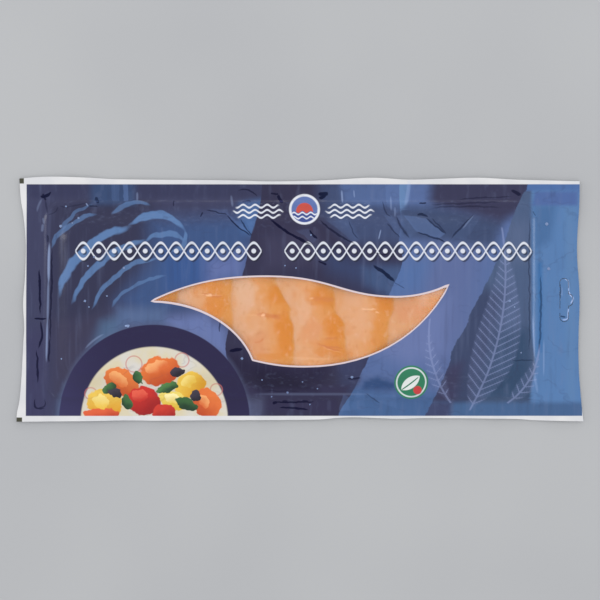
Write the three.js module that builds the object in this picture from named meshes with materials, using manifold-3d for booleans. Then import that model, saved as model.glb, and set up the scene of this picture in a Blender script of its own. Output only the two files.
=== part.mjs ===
// Pack of sliced smoked salmon: a flat vacuum pouch that lies on its back, seen side up.
// A white back film and a printed front film are sealed together round a stiff board.
// Eight shingled slices lie on the board, and a leaf-shaped clear window shows them.
// Millimetres, +X along the pack, +Z up, origin at the bottom centre of the pack.
import * as THREE from 'three';
import { mergeVertices } from 'three/addons/utils/BufferGeometryUtils.js';
import Module from 'manifold-3d';

const wasm = await Module();
wasm.setup();

// ---- driving dimensions ----
const GAP = 0.2; // between pieces that touch in the real pack
const FILM = 0.45; // thickness of each film
const BOARD = 1.2; // thickness of the board
const BOARD_LENGTH = 358;
const BOARD_WIDTH = 143;
const BOARD_CORNER = 13; // corner radius
const FISH_CORNER = 24; // corner radius of the film where it starts to climb over the fish
const BOARD_X = -7.7; // the board lies nearer the left seal: the right seal holds the hang slot
const BOARD_Y = -0.6;

// The film stands off the board's edge in a low ridge, dips, and climbs to the top of the fish.
const RIDGE_FOOT = 4; // how far outside the board's edge the film leaves the seal
const RIDGE_HALF_WIDTH = 0.6;
const RIDGE_HEIGHT = 0.6; // over the board
const DIP_INSET = 4;
const DIP_HEIGHT = 0.25; // over the board
const PLATEAU_INSET = 20;
const PLATEAU_HEIGHT = 5.8; // over the board, under the front film
const LAST_SLICE_DROP = 2.4; // the right end holds one layer of fish, the rest two
const LAST_SLICE_DROP_START = 114;
const LAST_SLICE_DROP_END = 152;

const SLICE = 2.5; // thickness of a slice
const SLICE_LENGTH = 80;
const SLICE_WIDTH = 122;
const SLICE_CORNER = 16;
const FISH_LEFT = -174; // where the first slices are tucked in
const SLICE_LEAD = 10; // how far before its hidden end a slice starts to lift the one above
const SLICE_FEATHER = 18; // how far behind its hidden end a slice reaches its thickness
const SIDE_LEAD = 6;
const SIDE_FEATHER = 12;
const SHOWN_EDGE = 0.5; // thickness of the shown edge
const SHOWN_TAPER = 0.14; // how fast a slice thickens behind its shown edge
// Where each slice's shown edge lies, how far it leans to the right towards +Y, and how wavy it is.
const SLICES = [
  { edge: -132, lean: 2, wave: 1.5 },
  { edge: -90, lean: -2, wave: 2 },
  { edge: -49, lean: 1, wave: 1 },
  { edge: -5, lean: -7, wave: 2.5 },
  { edge: 35, lean: -5, wave: 3 },
  { edge: 71, lean: 1, wave: 2.5 },
  { edge: 116, lean: 3, wave: 2 },
  { edge: 158, lean: -1, wave: 1.5 },
];

const SLOT_X = 195.2; // hang slot: cut but still filled by its flap, which narrow bridges hold
const SLOT_LENGTH = 32;
const SLOT_WIDTH = 6.3;
const SLOT_BUMP_WIDTH = 9;
const SLOT_BUMP = 3.3;
const SLIT = 0.4;
const BRIDGE = 1.4;

// The sealed edges wander a little, as heat-sealed film does. Clockwise from the top left corner.
const TOP_EDGE = [
  [-207.4, 89.2], [-187, 90.6], [-158, 89.9], [-130, 88.6], [-60, 88], [-20, 87.1], [20, 88],
  [52, 89.8], [80, 88.4], [104, 89], [132, 89.8], [160, 88.4], [206.7, 87.2],
];
const RIGHT_EDGE = [
  [206.7, 87.2], [206.4, 70], [205.2, 50], [204.8, 32], [206.6, 2], [205.8, -28], [206, -50],
  [207.4, -70], [209.5, -90],
];
const BOTTOM_EDGE = [
  [209.5, -90], [190, -89.4], [160, -88], [110, -87.5], [60, -87.3], [40, -86.2], [15, -87.4],
  [-20, -89], [-100, -89.2], [-150, -90.2], [-209.5, -90.6],
];
const LEFT_EDGE = [
  [-209.5, -90.6], [-209.2, -84], [-206.8, -70], [-204.6, -34], [-203.8, -21], [-204.6, -3],
  [-203.2, 18], [-202.8, 42], [-204.5, 62], [-206.3, 73], [-207.4, 89.2],
];

// The window: its two tips, the cusp below, and the handles of the curves between them.
const LEFT_TIP = [-109.6, -1.6];
const CROWN = [-24, 17.3];
const SADDLE = [71, 1.7];
const RIGHT_TIP = [110.7, 11.5];
const BELLY = [4, -49.8];
const CUSP = [-34.8, -45.1];
const WINDOW_TOP = [
  [LEFT_TIP, [-84, 11], [-54, 17.3], CROWN],
  [CROWN, [16, 17.3], [38, 1.7], SADDLE],
  [SADDLE, [86, 1.7], [101, 7], RIGHT_TIP],
];
const WINDOW_RIGHT = [
  [RIGHT_TIP, [91, -29], [48, -49.8], BELLY],
  [BELLY, [-9, -49.8], [-22, -47.6], CUSP],
];
const WINDOW_LEFT = [[CUSP, [-47, -22.6], [-70, -2], LEFT_TIP]];
const TIP_SHARE = 0.06; // share of a window curve that faces the pack's short side
const CURVE_SEGMENTS = 4; // for each curve of the hang slot

// Points round each ring of the front film, clockwise from the top left corner.
const CORNER_POINTS = 3; // half a corner
const LONG_POINTS = 36;
const SHORT_POINTS = 10;
const RIGHT_OF_CUSP_POINTS = 26;

const FRONT_SEAL_Z = FILM + GAP;
const BOARD_Z = FILM + GAP;
const BOARD_TOP = BOARD_Z + BOARD;
const PLATEAU_Z = BOARD_TOP + PLATEAU_HEIGHT;

const finishes = {
  white: new THREE.MeshStandardMaterial({ color: 0xe6e7ea, roughness: 0.4 }),
  print: new THREE.MeshStandardMaterial({ color: 0x45527f, roughness: 0.28 }),
  clear: new THREE.MeshStandardMaterial({
    color: 0xf4f6fa,
    roughness: 0.1,
    transparent: true,
    opacity: 0.25,
  }),
  card: new THREE.MeshStandardMaterial({ color: 0xb9b9b6, roughness: 0.6 }),
  salmon: new THREE.MeshStandardMaterial({ color: 0xdf9a5c, roughness: 0.4 }),
};

// ---- curves ----
function spline(points) {
  return new THREE.SplineCurve(points.map(([x, y]) => new THREE.Vector2(x, y)));
}

function bezierChain(pieces) {
  const chain = new THREE.CurvePath();
  for (const piece of pieces) {
    const points = piece.map(([x, y]) => new THREE.Vector2(x, y));
    chain.add(new THREE.CubicBezierCurve(...points));
  }
  return chain;
}

// count points of a curve between two shares of its length, without the last one
function stretch(curve, from, to, count) {
  return Array.from({ length: count }, (_, i) => curve.getPointAt(from + ((to - from) * i) / count));
}

// ---- rings of the front film ----
function edgeRing() {
  const long = LONG_POINTS + 2 * CORNER_POINTS;
  const short = SHORT_POINTS + 2 * CORNER_POINTS;
  return [
    ...stretch(spline(TOP_EDGE), 0, 1, long),
    ...stretch(spline(RIGHT_EDGE), 0, 1, short),
    ...stretch(spline(BOTTOM_EDGE), 0, 1, long),
    ...stretch(spline(LEFT_EDGE), 0, 1, short),
  ];
}

// The board's outline, moved in by inset; it starts halfway round the top left corner.
function boardRing(inset) {
  const onFish = inset > DIP_INSET;
  const radius = onFish ? FISH_CORNER + DIP_INSET - inset : BOARD_CORNER - inset;
  const x = BOARD_LENGTH / 2 - inset - radius;
  const y = BOARD_WIDTH / 2 - inset - radius;
  const corners = [[-x, y], [x, y], [x, -y], [-x, -y]];
  const sidePoints = [LONG_POINTS, SHORT_POINTS, LONG_POINTS, SHORT_POINTS];
  const points = [];
  corners.forEach(([cx, cy], side) => {
    const [nx, ny] = corners[(side + 1) % 4];
    const start = Math.PI * (0.75 - 0.5 * side);
    const square = start - Math.PI / 4;
    const end = square - Math.PI / 4;
    const outX = radius * Math.cos(square);
    const outY = radius * Math.sin(square);
    const line = new THREE.LineCurve(
      new THREE.Vector2(cx + outX, cy + outY),
      new THREE.Vector2(nx + outX, ny + outY),
    );
    points.push(
      ...stretch(new THREE.ArcCurve(cx, cy, radius, start, square, true), 0, 1, CORNER_POINTS),
      ...stretch(line, 0, 1, sidePoints[side]),
      ...stretch(new THREE.ArcCurve(nx, ny, radius, square, end, true), 0, 1, CORNER_POINTS),
    );
  });
  return points.map((p) => p.add(new THREE.Vector2(BOARD_X, BOARD_Y)));
}

// The window's outline, with a point on each tip and on the cusp.
function windowRing() {
  const top = bezierChain(WINDOW_TOP);
  const right = bezierChain(WINDOW_RIGHT);
  const left = bezierChain(WINDOW_LEFT);
  const tip = SHORT_POINTS / 2 + CORNER_POINTS;
  const long = LONG_POINTS + 2 * CORNER_POINTS;
  return [
    ...stretch(top, TIP_SHARE, 1 - TIP_SHARE, long),
    ...stretch(top, 1 - TIP_SHARE, 1, tip),
    ...stretch(right, 0, TIP_SHARE, tip),
    ...stretch(right, TIP_SHARE, 1, RIGHT_OF_CUSP_POINTS),
    ...stretch(left, 0, 1 - TIP_SHARE, long - RIGHT_OF_CUSP_POINTS),
    ...stretch(left, 1 - TIP_SHARE, 1, tip),
    ...stretch(top, 0, TIP_SHARE, tip),
  ];
}

function between(ringA, ringB, share) {
  return ringA.map((p, i) => p.clone().lerp(ringB[i], share));
}

// ---- heights ----
function plateauZ(x) {
  return PLATEAU_Z - LAST_SLICE_DROP * THREE.MathUtils.smoothstep(
    x,
    LAST_SLICE_DROP_START,
    LAST_SLICE_DROP_END,
  );
}

// Underside of the front film at a distance inside the board's edge.
function filmZ(inset, x) {
  const ridge = BOARD_TOP + RIDGE_HEIGHT;
  const dip = BOARD_TOP + DIP_HEIGHT;
  if (inset < RIDGE_HALF_WIDTH) {
    const climb = THREE.MathUtils.smoothstep(inset, -RIDGE_FOOT, RIDGE_HALF_WIDTH);
    return FRONT_SEAL_Z + (ridge - FRONT_SEAL_Z) * climb;
  }
  if (inset < DIP_INSET) {
    return ridge + (dip - ridge) * THREE.MathUtils.smoothstep(inset, RIDGE_HALF_WIDTH, DIP_INSET);
  }
  return dip + (plateauZ(x) - dip) * THREE.MathUtils.smoothstep(inset, DIP_INSET, PLATEAU_INSET);
}

// ---- geometry ----
// A closed sheet from rows of top and bottom points; closed rows join end to end.
function sheetGeometry(topRows, bottomRows, closed) {
  const columns = topRows[0].length;
  const positions = [];
  for (const row of [...topRows, ...bottomRows]) {
    for (const [x, y, z] of row) positions.push(x, y, z);
  }
  const at = (row, column) => row * columns + (column % columns);
  const bottom = topRows.length;
  const index = [];
  const quad = (a, b, c, d) => index.push(a, c, b, a, d, c);
  const cells = closed ? columns : columns - 1;
  const last = topRows.length - 1;
  for (let c = 0; c < cells; c += 1) {
    for (let r = 0; r < last; r += 1) {
      quad(at(r, c), at(r, c + 1), at(r + 1, c + 1), at(r + 1, c));
      quad(
        at(bottom + r, c),
        at(bottom + r + 1, c),
        at(bottom + r + 1, c + 1),
        at(bottom + r, c + 1),
      );
    }
    quad(at(0, c), at(bottom, c), at(bottom, c + 1), at(0, c + 1));
    quad(at(last, c), at(last, c + 1), at(bottom + last, c + 1), at(bottom + last, c));
  }
  if (!closed) {
    for (let r = 0; r < last; r += 1) {
      quad(at(r, 0), at(r + 1, 0), at(bottom + r + 1, 0), at(bottom + r, 0));
      quad(at(r, cells), at(bottom + r, cells), at(bottom + r + 1, cells), at(r + 1, cells));
    }
  }
  const geometry = new THREE.BufferGeometry();
  geometry.setAttribute('position', new THREE.Float32BufferAttribute(positions, 3));
  geometry.setIndex(index);
  return geometry;
}

function extrude(shape, z, depth) {
  const settings = { depth, bevelEnabled: false, curveSegments: CURVE_SEGMENTS };
  return new THREE.ExtrudeGeometry(shape, settings).translate(0, 0, z);
}

function toManifold(geometry) {
  const bare = geometry.clone();
  bare.deleteAttribute('normal');
  bare.deleteAttribute('uv');
  const merged = mergeVertices(bare, 1e-4);
  return new wasm.Manifold(
    new wasm.Mesh({
      numProp: 3,
      vertProperties: Float32Array.from(merged.attributes.position.array),
      triVerts: Uint32Array.from(merged.index.array),
    }),
  );
}

function fromManifold(solid) {
  const mesh = solid.getMesh();
  const geometry = new THREE.BufferGeometry();
  geometry.setAttribute('position', new THREE.BufferAttribute(mesh.vertProperties, 3));
  geometry.setIndex(new THREE.BufferAttribute(mesh.triVerts, 1));
  return geometry;
}

// ---- hang slot ----
// A lying slot with a round bump towards the pack's right end, moved out by grow.
function slotOutline(grow) {
  const radius = SLOT_WIDTH / 2 + grow;
  const straight = SLOT_LENGTH / 2 - SLOT_WIDTH / 2;
  const bump = SLOT_BUMP_WIDTH / 2 + grow;
  const reach = SLOT_X + radius + SLOT_BUMP;
  const outline = new THREE.Shape();
  outline.absarc(SLOT_X, BOARD_Y + straight, radius, Math.PI, 0, true);
  outline.lineTo(SLOT_X + radius, BOARD_Y + bump);
  outline.quadraticCurveTo(reach, BOARD_Y + bump, reach, BOARD_Y);
  outline.quadraticCurveTo(reach, BOARD_Y - bump, SLOT_X + radius, BOARD_Y - bump);
  outline.lineTo(SLOT_X + radius, BOARD_Y - straight);
  outline.absarc(SLOT_X, BOARD_Y - straight, radius, 0, -Math.PI, true);
  return outline;
}

function slotCutter() {
  const height = 2 * FILM + GAP + 2;
  const outer = toManifold(extrude(slotOutline(SLIT / 2), -1, height));
  const flap = toManifold(extrude(slotOutline(-SLIT / 2), -2, height + 2));
  const bridge = new THREE.BoxGeometry(SLOT_WIDTH * 2, BRIDGE, 2 * height);
  const lower = bridge.clone().translate(SLOT_X, BOARD_Y - SLOT_LENGTH / 4, 0);
  const upper = bridge.clone().translate(SLOT_X, BOARD_Y + SLOT_LENGTH / 4, 0);
  return outer.subtract(flap).subtract(toManifold(lower)).subtract(toManifold(upper));
}

function cutSlot(geometry) {
  return fromManifold(toManifold(geometry).subtract(slotCutter()));
}

// ---- pieces ----
function backFilm() {
  return cutSlot(extrude(new THREE.Shape(edgeRing()), 0, FILM));
}

function board() {
  return extrude(new THREE.Shape(boardRing(0)), BOARD_Z, BOARD);
}

function frontFilm() {
  const outer = edgeRing();
  const foot = boardRing(-RIDGE_FOOT);
  const rings = [
    outer.map((p) => [p.x, p.y, FRONT_SEAL_Z]),
    between(outer, foot, 0.5).map((p) => [p.x, p.y, FRONT_SEAL_Z]),
  ];
  const climb = (DIP_INSET + PLATEAU_INSET) / 2;
  const insets = [
    -RIDGE_FOOT,
    -RIDGE_HALF_WIDTH,
    RIDGE_HALF_WIDTH,
    DIP_INSET,
    (DIP_INSET + climb) / 2,
    climb,
    (climb + PLATEAU_INSET) / 2,
    PLATEAU_INSET,
  ];
  for (const inset of insets) {
    rings.push(boardRing(inset).map((p) => [p.x, p.y, filmZ(inset, p.x)]));
  }
  const hole = windowRing();
  const halfway = between(boardRing(PLATEAU_INSET), hole, 0.6);
  rings.push(halfway.map((p) => [p.x, p.y, plateauZ(p.x)]));
  rings.push(hole.map((p) => [p.x, p.y, plateauZ(p.x)]));
  const top = rings.map((ring) => ring.map(([x, y, z]) => [x, y, z + FILM]));
  return cutSlot(sheetGeometry(top, rings, true));
}

// The right-hand normal of the line between two points: inwards on a clockwise outline.
function rightNormal(from, to) {
  const along = to.clone().sub(from).normalize();
  return new THREE.Vector2(along.y, -along.x);
}

// A clockwise outline moved in by distance, with mitred corners.
function shrink(outline, distance) {
  return outline.map((point, i) => {
    const before = rightNormal(outline.at(i - 1), point);
    const after = rightNormal(point, outline[(i + 1) % outline.length]);
    const mitre = before.clone().add(after).normalize();
    return point.clone().addScaledVector(mitre, distance / mitre.dot(before));
  });
}

// The clear part of the front film, a hair smaller than the hole in the print that it fills.
function windowFilm() {
  return extrude(new THREE.Shape(shrink(windowRing(), GAP)), PLATEAU_Z, FILM);
}

function sliceLeft(slice) {
  return Math.max(slice.edge - SLICE_LENGTH, FISH_LEFT);
}

// How much a slice lifts whatever lies on it, gap included.
function sliceRise(slice, x, y) {
  const fromEnd = (x - sliceLeft(slice) + SLICE_LEAD) / (SLICE_LEAD + SLICE_FEATHER);
  const fromSide = (SLICE_WIDTH / 2 - Math.abs(y - BOARD_Y) + SIDE_LEAD) / (SIDE_LEAD + SIDE_FEATHER);
  return (SLICE + GAP) * THREE.MathUtils.smoothstep(Math.min(fromEnd, fromSide), 0, 1);
}

function shownEdgeX(slice, across) {
  const wave = slice.wave * Math.sin(2 * Math.PI * across + slice.edge);
  return slice.edge + slice.lean * across + wave;
}

// How much a slice's rounded corners take off its length at y.
function cornerCut(y) {
  const past = Math.max(Math.abs(y) - (SLICE_WIDTH / 2 - SLICE_CORNER), 0);
  return SLICE_CORNER - Math.sqrt(SLICE_CORNER ** 2 - past ** 2);
}

const SLICE_CELLS_LONG = 12;
const SLICE_CELLS_WIDE = 10;

function salmonSlice(number) {
  const slice = SLICES[number];
  const under = SLICES.slice(number + 1);
  const top = [];
  const bottom = [];
  for (let i = 0; i <= SLICE_CELLS_LONG; i += 1) {
    const topRow = [];
    const bottomRow = [];
    for (let j = 0; j <= SLICE_CELLS_WIDE; j += 1) {
      const across = Math.sin((Math.PI / 2) * (2 * (j / SLICE_CELLS_WIDE) - 1));
      const reach = (SLICE_WIDTH / 2) * across;
      const cut = cornerCut(reach);
      const left = sliceLeft(slice) + cut;
      const right = shownEdgeX(slice, across) - cut;
      const x = left + ((right - left) * i) / SLICE_CELLS_LONG;
      const y = BOARD_Y + reach;
      const z = under.reduce((sum, other) => sum + sliceRise(other, x, y), BOARD_TOP + GAP);
      const thickness = Math.min(
        sliceRise(slice, x, y) - GAP,
        SHOWN_EDGE + SHOWN_TAPER * (right - x),
      );
      topRow.push([x, y, z + thickness]);
      bottomRow.push([x, y, z]);
    }
    top.push(topRow);
    bottom.push(bottomRow);
  }
  return sheetGeometry(top, bottom, false);
}

// ---- assembly ----
function named(name, geometry, material) {
  const mesh = new THREE.Mesh(geometry, material);
  mesh.name = name;
  return mesh;
}

const pack = new THREE.Group();
pack.name = 'smoked_salmon_pack';
pack.add(named('back_film', backFilm(), finishes.white));
pack.add(named('board', board(), finishes.card));
const fish = new THREE.Group();
SLICES.forEach((_, i) => fish.add(named(`salmon_slice_${i + 1}`, salmonSlice(i), finishes.salmon)));
pack.add(fish);
pack.add(named('front_film', frontFilm(), finishes.print));
pack.add(named('window_film', windowFilm(), finishes.clear));

export default pack;
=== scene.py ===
"""Looks of the pack of smoked salmon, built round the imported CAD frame.

Shapes are worked out in millimetres in the part's own frame and turned into metres when a mesh
is made. Places of print, folds and bubbles are named lists in pixels of the photograph.
"""

import math

import bpy
import numpy as np
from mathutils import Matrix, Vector


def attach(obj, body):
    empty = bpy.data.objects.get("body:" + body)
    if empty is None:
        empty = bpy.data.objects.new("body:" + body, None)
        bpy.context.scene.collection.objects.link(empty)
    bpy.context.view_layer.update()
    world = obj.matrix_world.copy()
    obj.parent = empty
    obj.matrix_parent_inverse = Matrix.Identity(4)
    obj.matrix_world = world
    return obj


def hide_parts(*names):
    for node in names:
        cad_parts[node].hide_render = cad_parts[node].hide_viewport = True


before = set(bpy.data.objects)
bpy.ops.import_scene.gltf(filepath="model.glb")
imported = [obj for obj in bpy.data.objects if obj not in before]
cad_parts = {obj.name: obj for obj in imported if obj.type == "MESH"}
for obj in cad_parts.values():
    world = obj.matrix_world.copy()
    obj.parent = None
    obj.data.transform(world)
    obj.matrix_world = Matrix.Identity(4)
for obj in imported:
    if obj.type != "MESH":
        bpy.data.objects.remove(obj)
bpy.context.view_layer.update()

MM = 0.001  # metres in a millimetre

# ---- the photograph: straight down on the pack ----
PX_MM = 0.7356  # millimetres in a pixel
PX_ZERO = (300.0, 299.2)  # the pixel at the part's origin
PHOTO_PX = 600  # each side of the photograph

# ---- sizes repeated from the CAD source, in millimetres ----
GAP = 0.2
FILM = 0.45
BOARD = 1.2
BOARD_LENGTH = 358.0
BOARD_WIDTH = 143.0
BOARD_CORNER = 13.0
FISH_CORNER = 24.0
BOARD_CENTRE = np.array([-7.7, -0.6])
RIDGE_FOOT = 4.0
RIDGE_HALF_WIDTH = 0.6
RIDGE_HEIGHT = 0.6
DIP_INSET = 4.0
DIP_HEIGHT = 0.25
PLATEAU_INSET = 20.0
PLATEAU_HEIGHT = 5.8
LAST_SLICE_DROP = 2.4
LAST_SLICE_DROP_START = 114.0
LAST_SLICE_DROP_END = 152.0
FRONT_SEAL_Z = FILM + GAP
BOARD_TOP = FILM + GAP + BOARD
PLATEAU_Z = BOARD_TOP + PLATEAU_HEIGHT
TALLEST = PLATEAU_Z + FILM + 0.2  # the film and its bubbles stay under this

SLICE = 2.5
SLICE_LENGTH = 80.0
SLICE_WIDTH = 122.0
SLICE_CORNER = 16.0
FISH_LEFT = -174.0
SLICE_LEAD = 10.0
SLICE_FEATHER = 18.0
SIDE_LEAD = 6.0
SIDE_FEATHER = 12.0
SHOWN_TAPER = 0.14
# Where each slice's right edge lies, its lean towards +Y, and how wavy it is. Near the window the
# edges run through the points of SHOWN_EDGES instead.
SLICES = [
    (-132, 2, 1.5), (-90, -2, 2), (-49, 1, 1), (-5, -7, 2.5),
    (35, -5, 3), (71, 1, 2.5), (116, 3, 2), (158, -1, 1.5),
]

SLOT_X = 195.2
SLOT_LENGTH = 32.0
SLOT_WIDTH = 6.3
SLOT_BUMP_WIDTH = 9.0
SLOT_BUMP = 3.3
SLIT = 0.4
BRIDGE = 1.4
# The slot's cutter reaches well past both films.
CUT_TOP = 12.0
CUT_BOTTOM = -3.0

# ---- outlines, in millimetres: the sealed edge of the pack, clockwise ----
TOP_EDGE = [
    (-207.4, 89.2), (-187, 90.6), (-158, 89.9), (-130, 88.6), (-60, 88), (-20, 87.1), (20, 88),
    (52, 89.8), (80, 88.4), (104, 89), (132, 89.8), (160, 88.4), (206.7, 87.2),
]
RIGHT_EDGE = [
    (206.7, 87.2), (206.4, 70), (205.2, 50), (204.8, 32), (206.6, 2), (205.8, -28), (206, -50),
    (207.4, -70), (209.5, -90),
]
BOTTOM_EDGE = [
    (209.5, -90.3), (186, -89.8), (172, -89.4), (159, -88.5), (133, -88.2), (95, -87.9),
    (73, -88.4), (56, -87.8), (40, -87.3), (28, -87.7), (14, -88.9), (-13, -89.3), (-66, -89.5),
    (-106, -89.8), (-132, -89.6), (-158, -90.1), (-209.5, -90.6),
]
LEFT_EDGE = [
    (-209.5, -90.6), (-209.2, -84), (-206.8, -70), (-204.6, -34), (-203.8, -21), (-204.6, -3),
    (-203.2, 18), (-202.8, 42), (-204.5, 62), (-206.3, 73), (-207.4, 89.2),
]
# The middle of the pale line round the window, as Bezier curves.
LEFT_TIP = (-110.3, -1.7)
CROWN = (-24, 16.9)
SADDLE = (71, 1.8)
RIGHT_TIP = (110.2, 11.4)
BELLY = (4, -49.6)
CUSP = (-34.8, -44.8)
WINDOW_TOP = [
    [LEFT_TIP, (-78.6, 13.9), (-53, 16.9), CROWN],
    [CROWN, (23.4, 16.9), (31.1, 1.8), SADDLE],
    [SADDLE, (86.4, 1.8), (100.9, 6.2), RIGHT_TIP],
]
WINDOW_RIGHT = [
    [RIGHT_TIP, (88.5, -29.4), (49.8, -49.6), BELLY],
    [BELLY, (-9.5, -49.6), (-19, -48.7), CUSP],
]
WINDOW_LEFT = [[CUSP, (-43.5, -22), (-71.4, -2.1), LEFT_TIP]]
WINDOW_LINE = 1.3  # width of the pale line
TIP_TAPER = 5  # pixels over which it narrows to a point at each tip
TIP_SHARE = 0.06  # share of each long side that the mesh's points crowd into at a tip

# ---- fineness of the meshes ----
CORNER_POINTS = 21  # half a corner
LONG_POINTS = 252
SHORT_POINTS = 70
RIGHT_OF_CUSP_POINTS = 182
MARGIN_RINGS = 18
WINDOW_RINGS = 26
RING_CROWDING = 1.25  # above 1, the rings lie closer together towards the window
RIDGE_INSETS = [-4, -3, -2.2, -1.5, -1, -0.6, -0.2, 0.2, 0.6, 1, 1.6, 2.3, 3.1, 4]
CLIMB_RINGS = 14
HIDDEN_EVERY = 5  # the film's hidden side keeps one ring in so many
BACK_MARGIN_RINGS = 12
BACK_INSETS = [-2, 0, 2, 4, 10, 18]
SPINE_INSET = 24  # the back film's last ring is this one pressed flat to a line
SPINE_SCALE = 0.999
SPINE_HALF_LENGTH = 108
SPINE_SHARES = [0.25, 0.5, 0.75, 1]
BUBBLE_TURNS = 14
BUBBLE_SLOPES = [0, 18, 36, 54, 72, 90]  # degrees from a bubble's foot to its top
SLICE_CELLS = 56
PANE_COLUMNS = 220
PANE_LEFT_COLUMNS = 76  # of them, left of the cusp
PANE_ROWS = 26

# ---- relief of the film, in millimetres ----
MARGIN_LIFT = 0.7
GROOVE = 0.3
WELT = 0.28
PANE_GAP = 0.04
FISH_CLEARANCE = 0.12
FLESH_SAG = 0.17  # how far a slice's shown edge sinks into the gap under it
LEAST_FLESH = 0.06
RELIEF_LOW = -0.32
RELIEF_HIGH = 0.4
# Ripples: height, distance from bump to bump, seed.
FILM_RIPPLES = [(0.05, 14, 5), (0.03, 5, 6)]
MARGIN_RIPPLE = (0.10, 6, 7)
BOARD_RIPPLE = (0.05, 12, 8)
LIFT_RIPPLES = [(0.9, 24, 3), (0.35, 9, 4)]
FLESH_RIPPLE = (0.14, 7)  # each slice has a seed of its own
SLICE_STEP = 0.16  # depth of the step that a slice's edge leaves in the film over it
BUBBLE_RISE = 0.45  # share of a bubble's radius
BUBBLE_ROOT = 0.12
FLOOR_DROP = 0.4  # keeps the floor clear of the back film
FLOOR_HALF = 4000.0

# ---- folds in the film: start, end, sideways bow, half width, strength; in pixels ----
# Painted shade that darkens the creases of the shaded folds.
FOLD_SHADE_TONE = (5, 7, 38)
FOLD_SHADE_DEPTH = 0.8  # how much of that painted shade a fold takes on
FOLD_METAL = 0.95
SHADED_FOLD_WIDEN = 1.6  # a fold's relief is wider than its painted shade
HIGHLIGHT_FOLD_WIDEN = 1.5
# Colour of the painted highlights on the welts.
FOLD_HIGHLIGHT_TONE = (172, 192, 236)
# Grooves in the relief, each with painted shade along its crease.
SHADED_FOLDS = [
    ((205, 210), (227, 215), -1, 0.8, 0.7), ((226, 214.5), (252, 236.5), 1, 1.0, 0.85),
    ((241, 219), (252.5, 236), 1, 0.8, 0.75), ((269, 218), (313, 245.5), 2, 1.7, 0.95),
    ((308.5, 230), (317, 239), 0, 1.3, 0.95), ((319, 219), (356, 244.5), 2, 1.1, 0.7),
    ((349, 220), (359, 239), 2, 0.8, 0.5), ((383, 200.5), (392, 217), 3, 0.9, 0.5),
    ((387, 223), (400, 238), 0, 0.9, 0.5), ((396, 217), (410, 238), 1, 1.2, 0.55),
    ((416.5, 215), (428.5, 217), -2, 1.5, 0.75), ((425, 217.5), (445.5, 234.5), 0, 0.9, 0.7),
    ((416, 232.6), (446, 243), -1.4, 1.0, 0.8), ((475, 213.5), (451.5, 239), 1, 1.0, 0.6),
    ((372, 265), (395.5, 282.5), -1, 2.1, 0.95), ((394, 282), (405, 289), 0, 0.8, 0.4),
    ((318.5, 261.3), (327.5, 264.3), 0, 1.2, 0.85), ((242, 200.5), (251, 200.5), 0, 1.0, 0.65),
    ((237, 191), (257, 196), -4, 0.9, 0.65), ((277.5, 193.5), (282.5, 202.5), 0, 2.4, 0.9),
    ((317.5, 193.5), (329, 192.5), 0, 2.4, 0.95), ((318, 197.5), (326.5, 193), 1, 2.0, 0.95),
    ((270.5, 193), (278.5, 193), 0, 1.2, 0.75), ((458, 198.7), (514, 195.4), 0, 0.9, 0.45),
    ((430, 204.5), (503, 201.5), 0, 1.0, 0.4), ((430, 208), (503, 206.7), -1, 1.0, 0.4),
    ((419.5, 202.6), (427.5, 202.8), 0, 1.2, 0.85), ((512.5, 188.5), (522, 196), 0, 2.2, 0.75),
    ((38.5, 196), (50, 191.5), 1.5, 1.8, 0.95), ((41, 193), (45, 200), 0, 1.4, 0.8),
    ((44, 199), (46.5, 213), 0, 1.3, 0.4), ((95.5, 196), (98, 203), 0, 1.9, 0.75),
    ((86, 205), (97, 205.5), 0, 1.1, 0.6), ((173, 199), (173.5, 206), 0, 0.9, 0.6),
    ((202.5, 212), (200, 216), 0, 1.1, 0.7), ((374, 253), (388, 255), 0, 0.9, 0.6),
    ((38, 268), (38.5, 315), 0, 1.3, 0.95), ((32, 318.5), (46, 319), 0, 1.3, 0.95),
    ((39.5, 320), (37, 350), -2, 1.2, 0.9), ((34.5, 349), (36, 384), -1, 1.1, 0.85),
    ((34, 398), (44, 409), 6, 1.2, 0.75), ((34.5, 408), (43, 399), 5, 1.0, 0.6),
    ((51.6, 246), (49.4, 344), 0.6, 1.1, 0.7), ((48.6, 338), (47.8, 364), 0, 1.2, 0.75),
    ((46.9, 234), (46.9, 243), 0, 1.4, 0.6), ((46.4, 214), (58, 206.5), 2, 0.8, 0.35),
    ((58, 206.5), (86, 202), 1, 0.8, 0.3), ((273, 402.5), (315, 401.5), 1, 1.1, 0.85),
    ((272.5, 404.5), (277, 402.5), 0, 1.6, 0.85), ((279, 408.6), (309, 410), -1, 1.2, 0.85),
    ((282, 401.6), (288, 401.8), 0, 1.1, 0.7), ((302, 401.6), (308, 401.4), 0, 1.2, 0.7),
    ((262, 391), (300, 392), 0, 0.9, 0.3), ((219.5, 320), (220, 333), 0, 1.0, 0.7),
    ((229, 351.5), (243, 348), 0, 2.2, 0.9), ((347, 378.5), (361, 378), 0, 1.4, 0.7),
    ((530.3, 214), (530.4, 356), 0, 0.9, 0.5), ((542, 272), (540.2, 354), -1, 1.2, 0.6),
    ((366, 394), (380, 403.5), 0, 0.9, 0.4), ((432, 218), (446.5, 235), 0, 1.0, 0.5),
    ((534, 210), (537, 215), 0, 1.0, 0.45), ((512, 361), (536, 360.5), 0, 1.0, 0.4),
    ((561.4, 284), (561.6, 299), 0, 0.8, 0.6), ((561.5, 316), (566.5, 317.3), 0, 1.0, 0.75),
]
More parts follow.
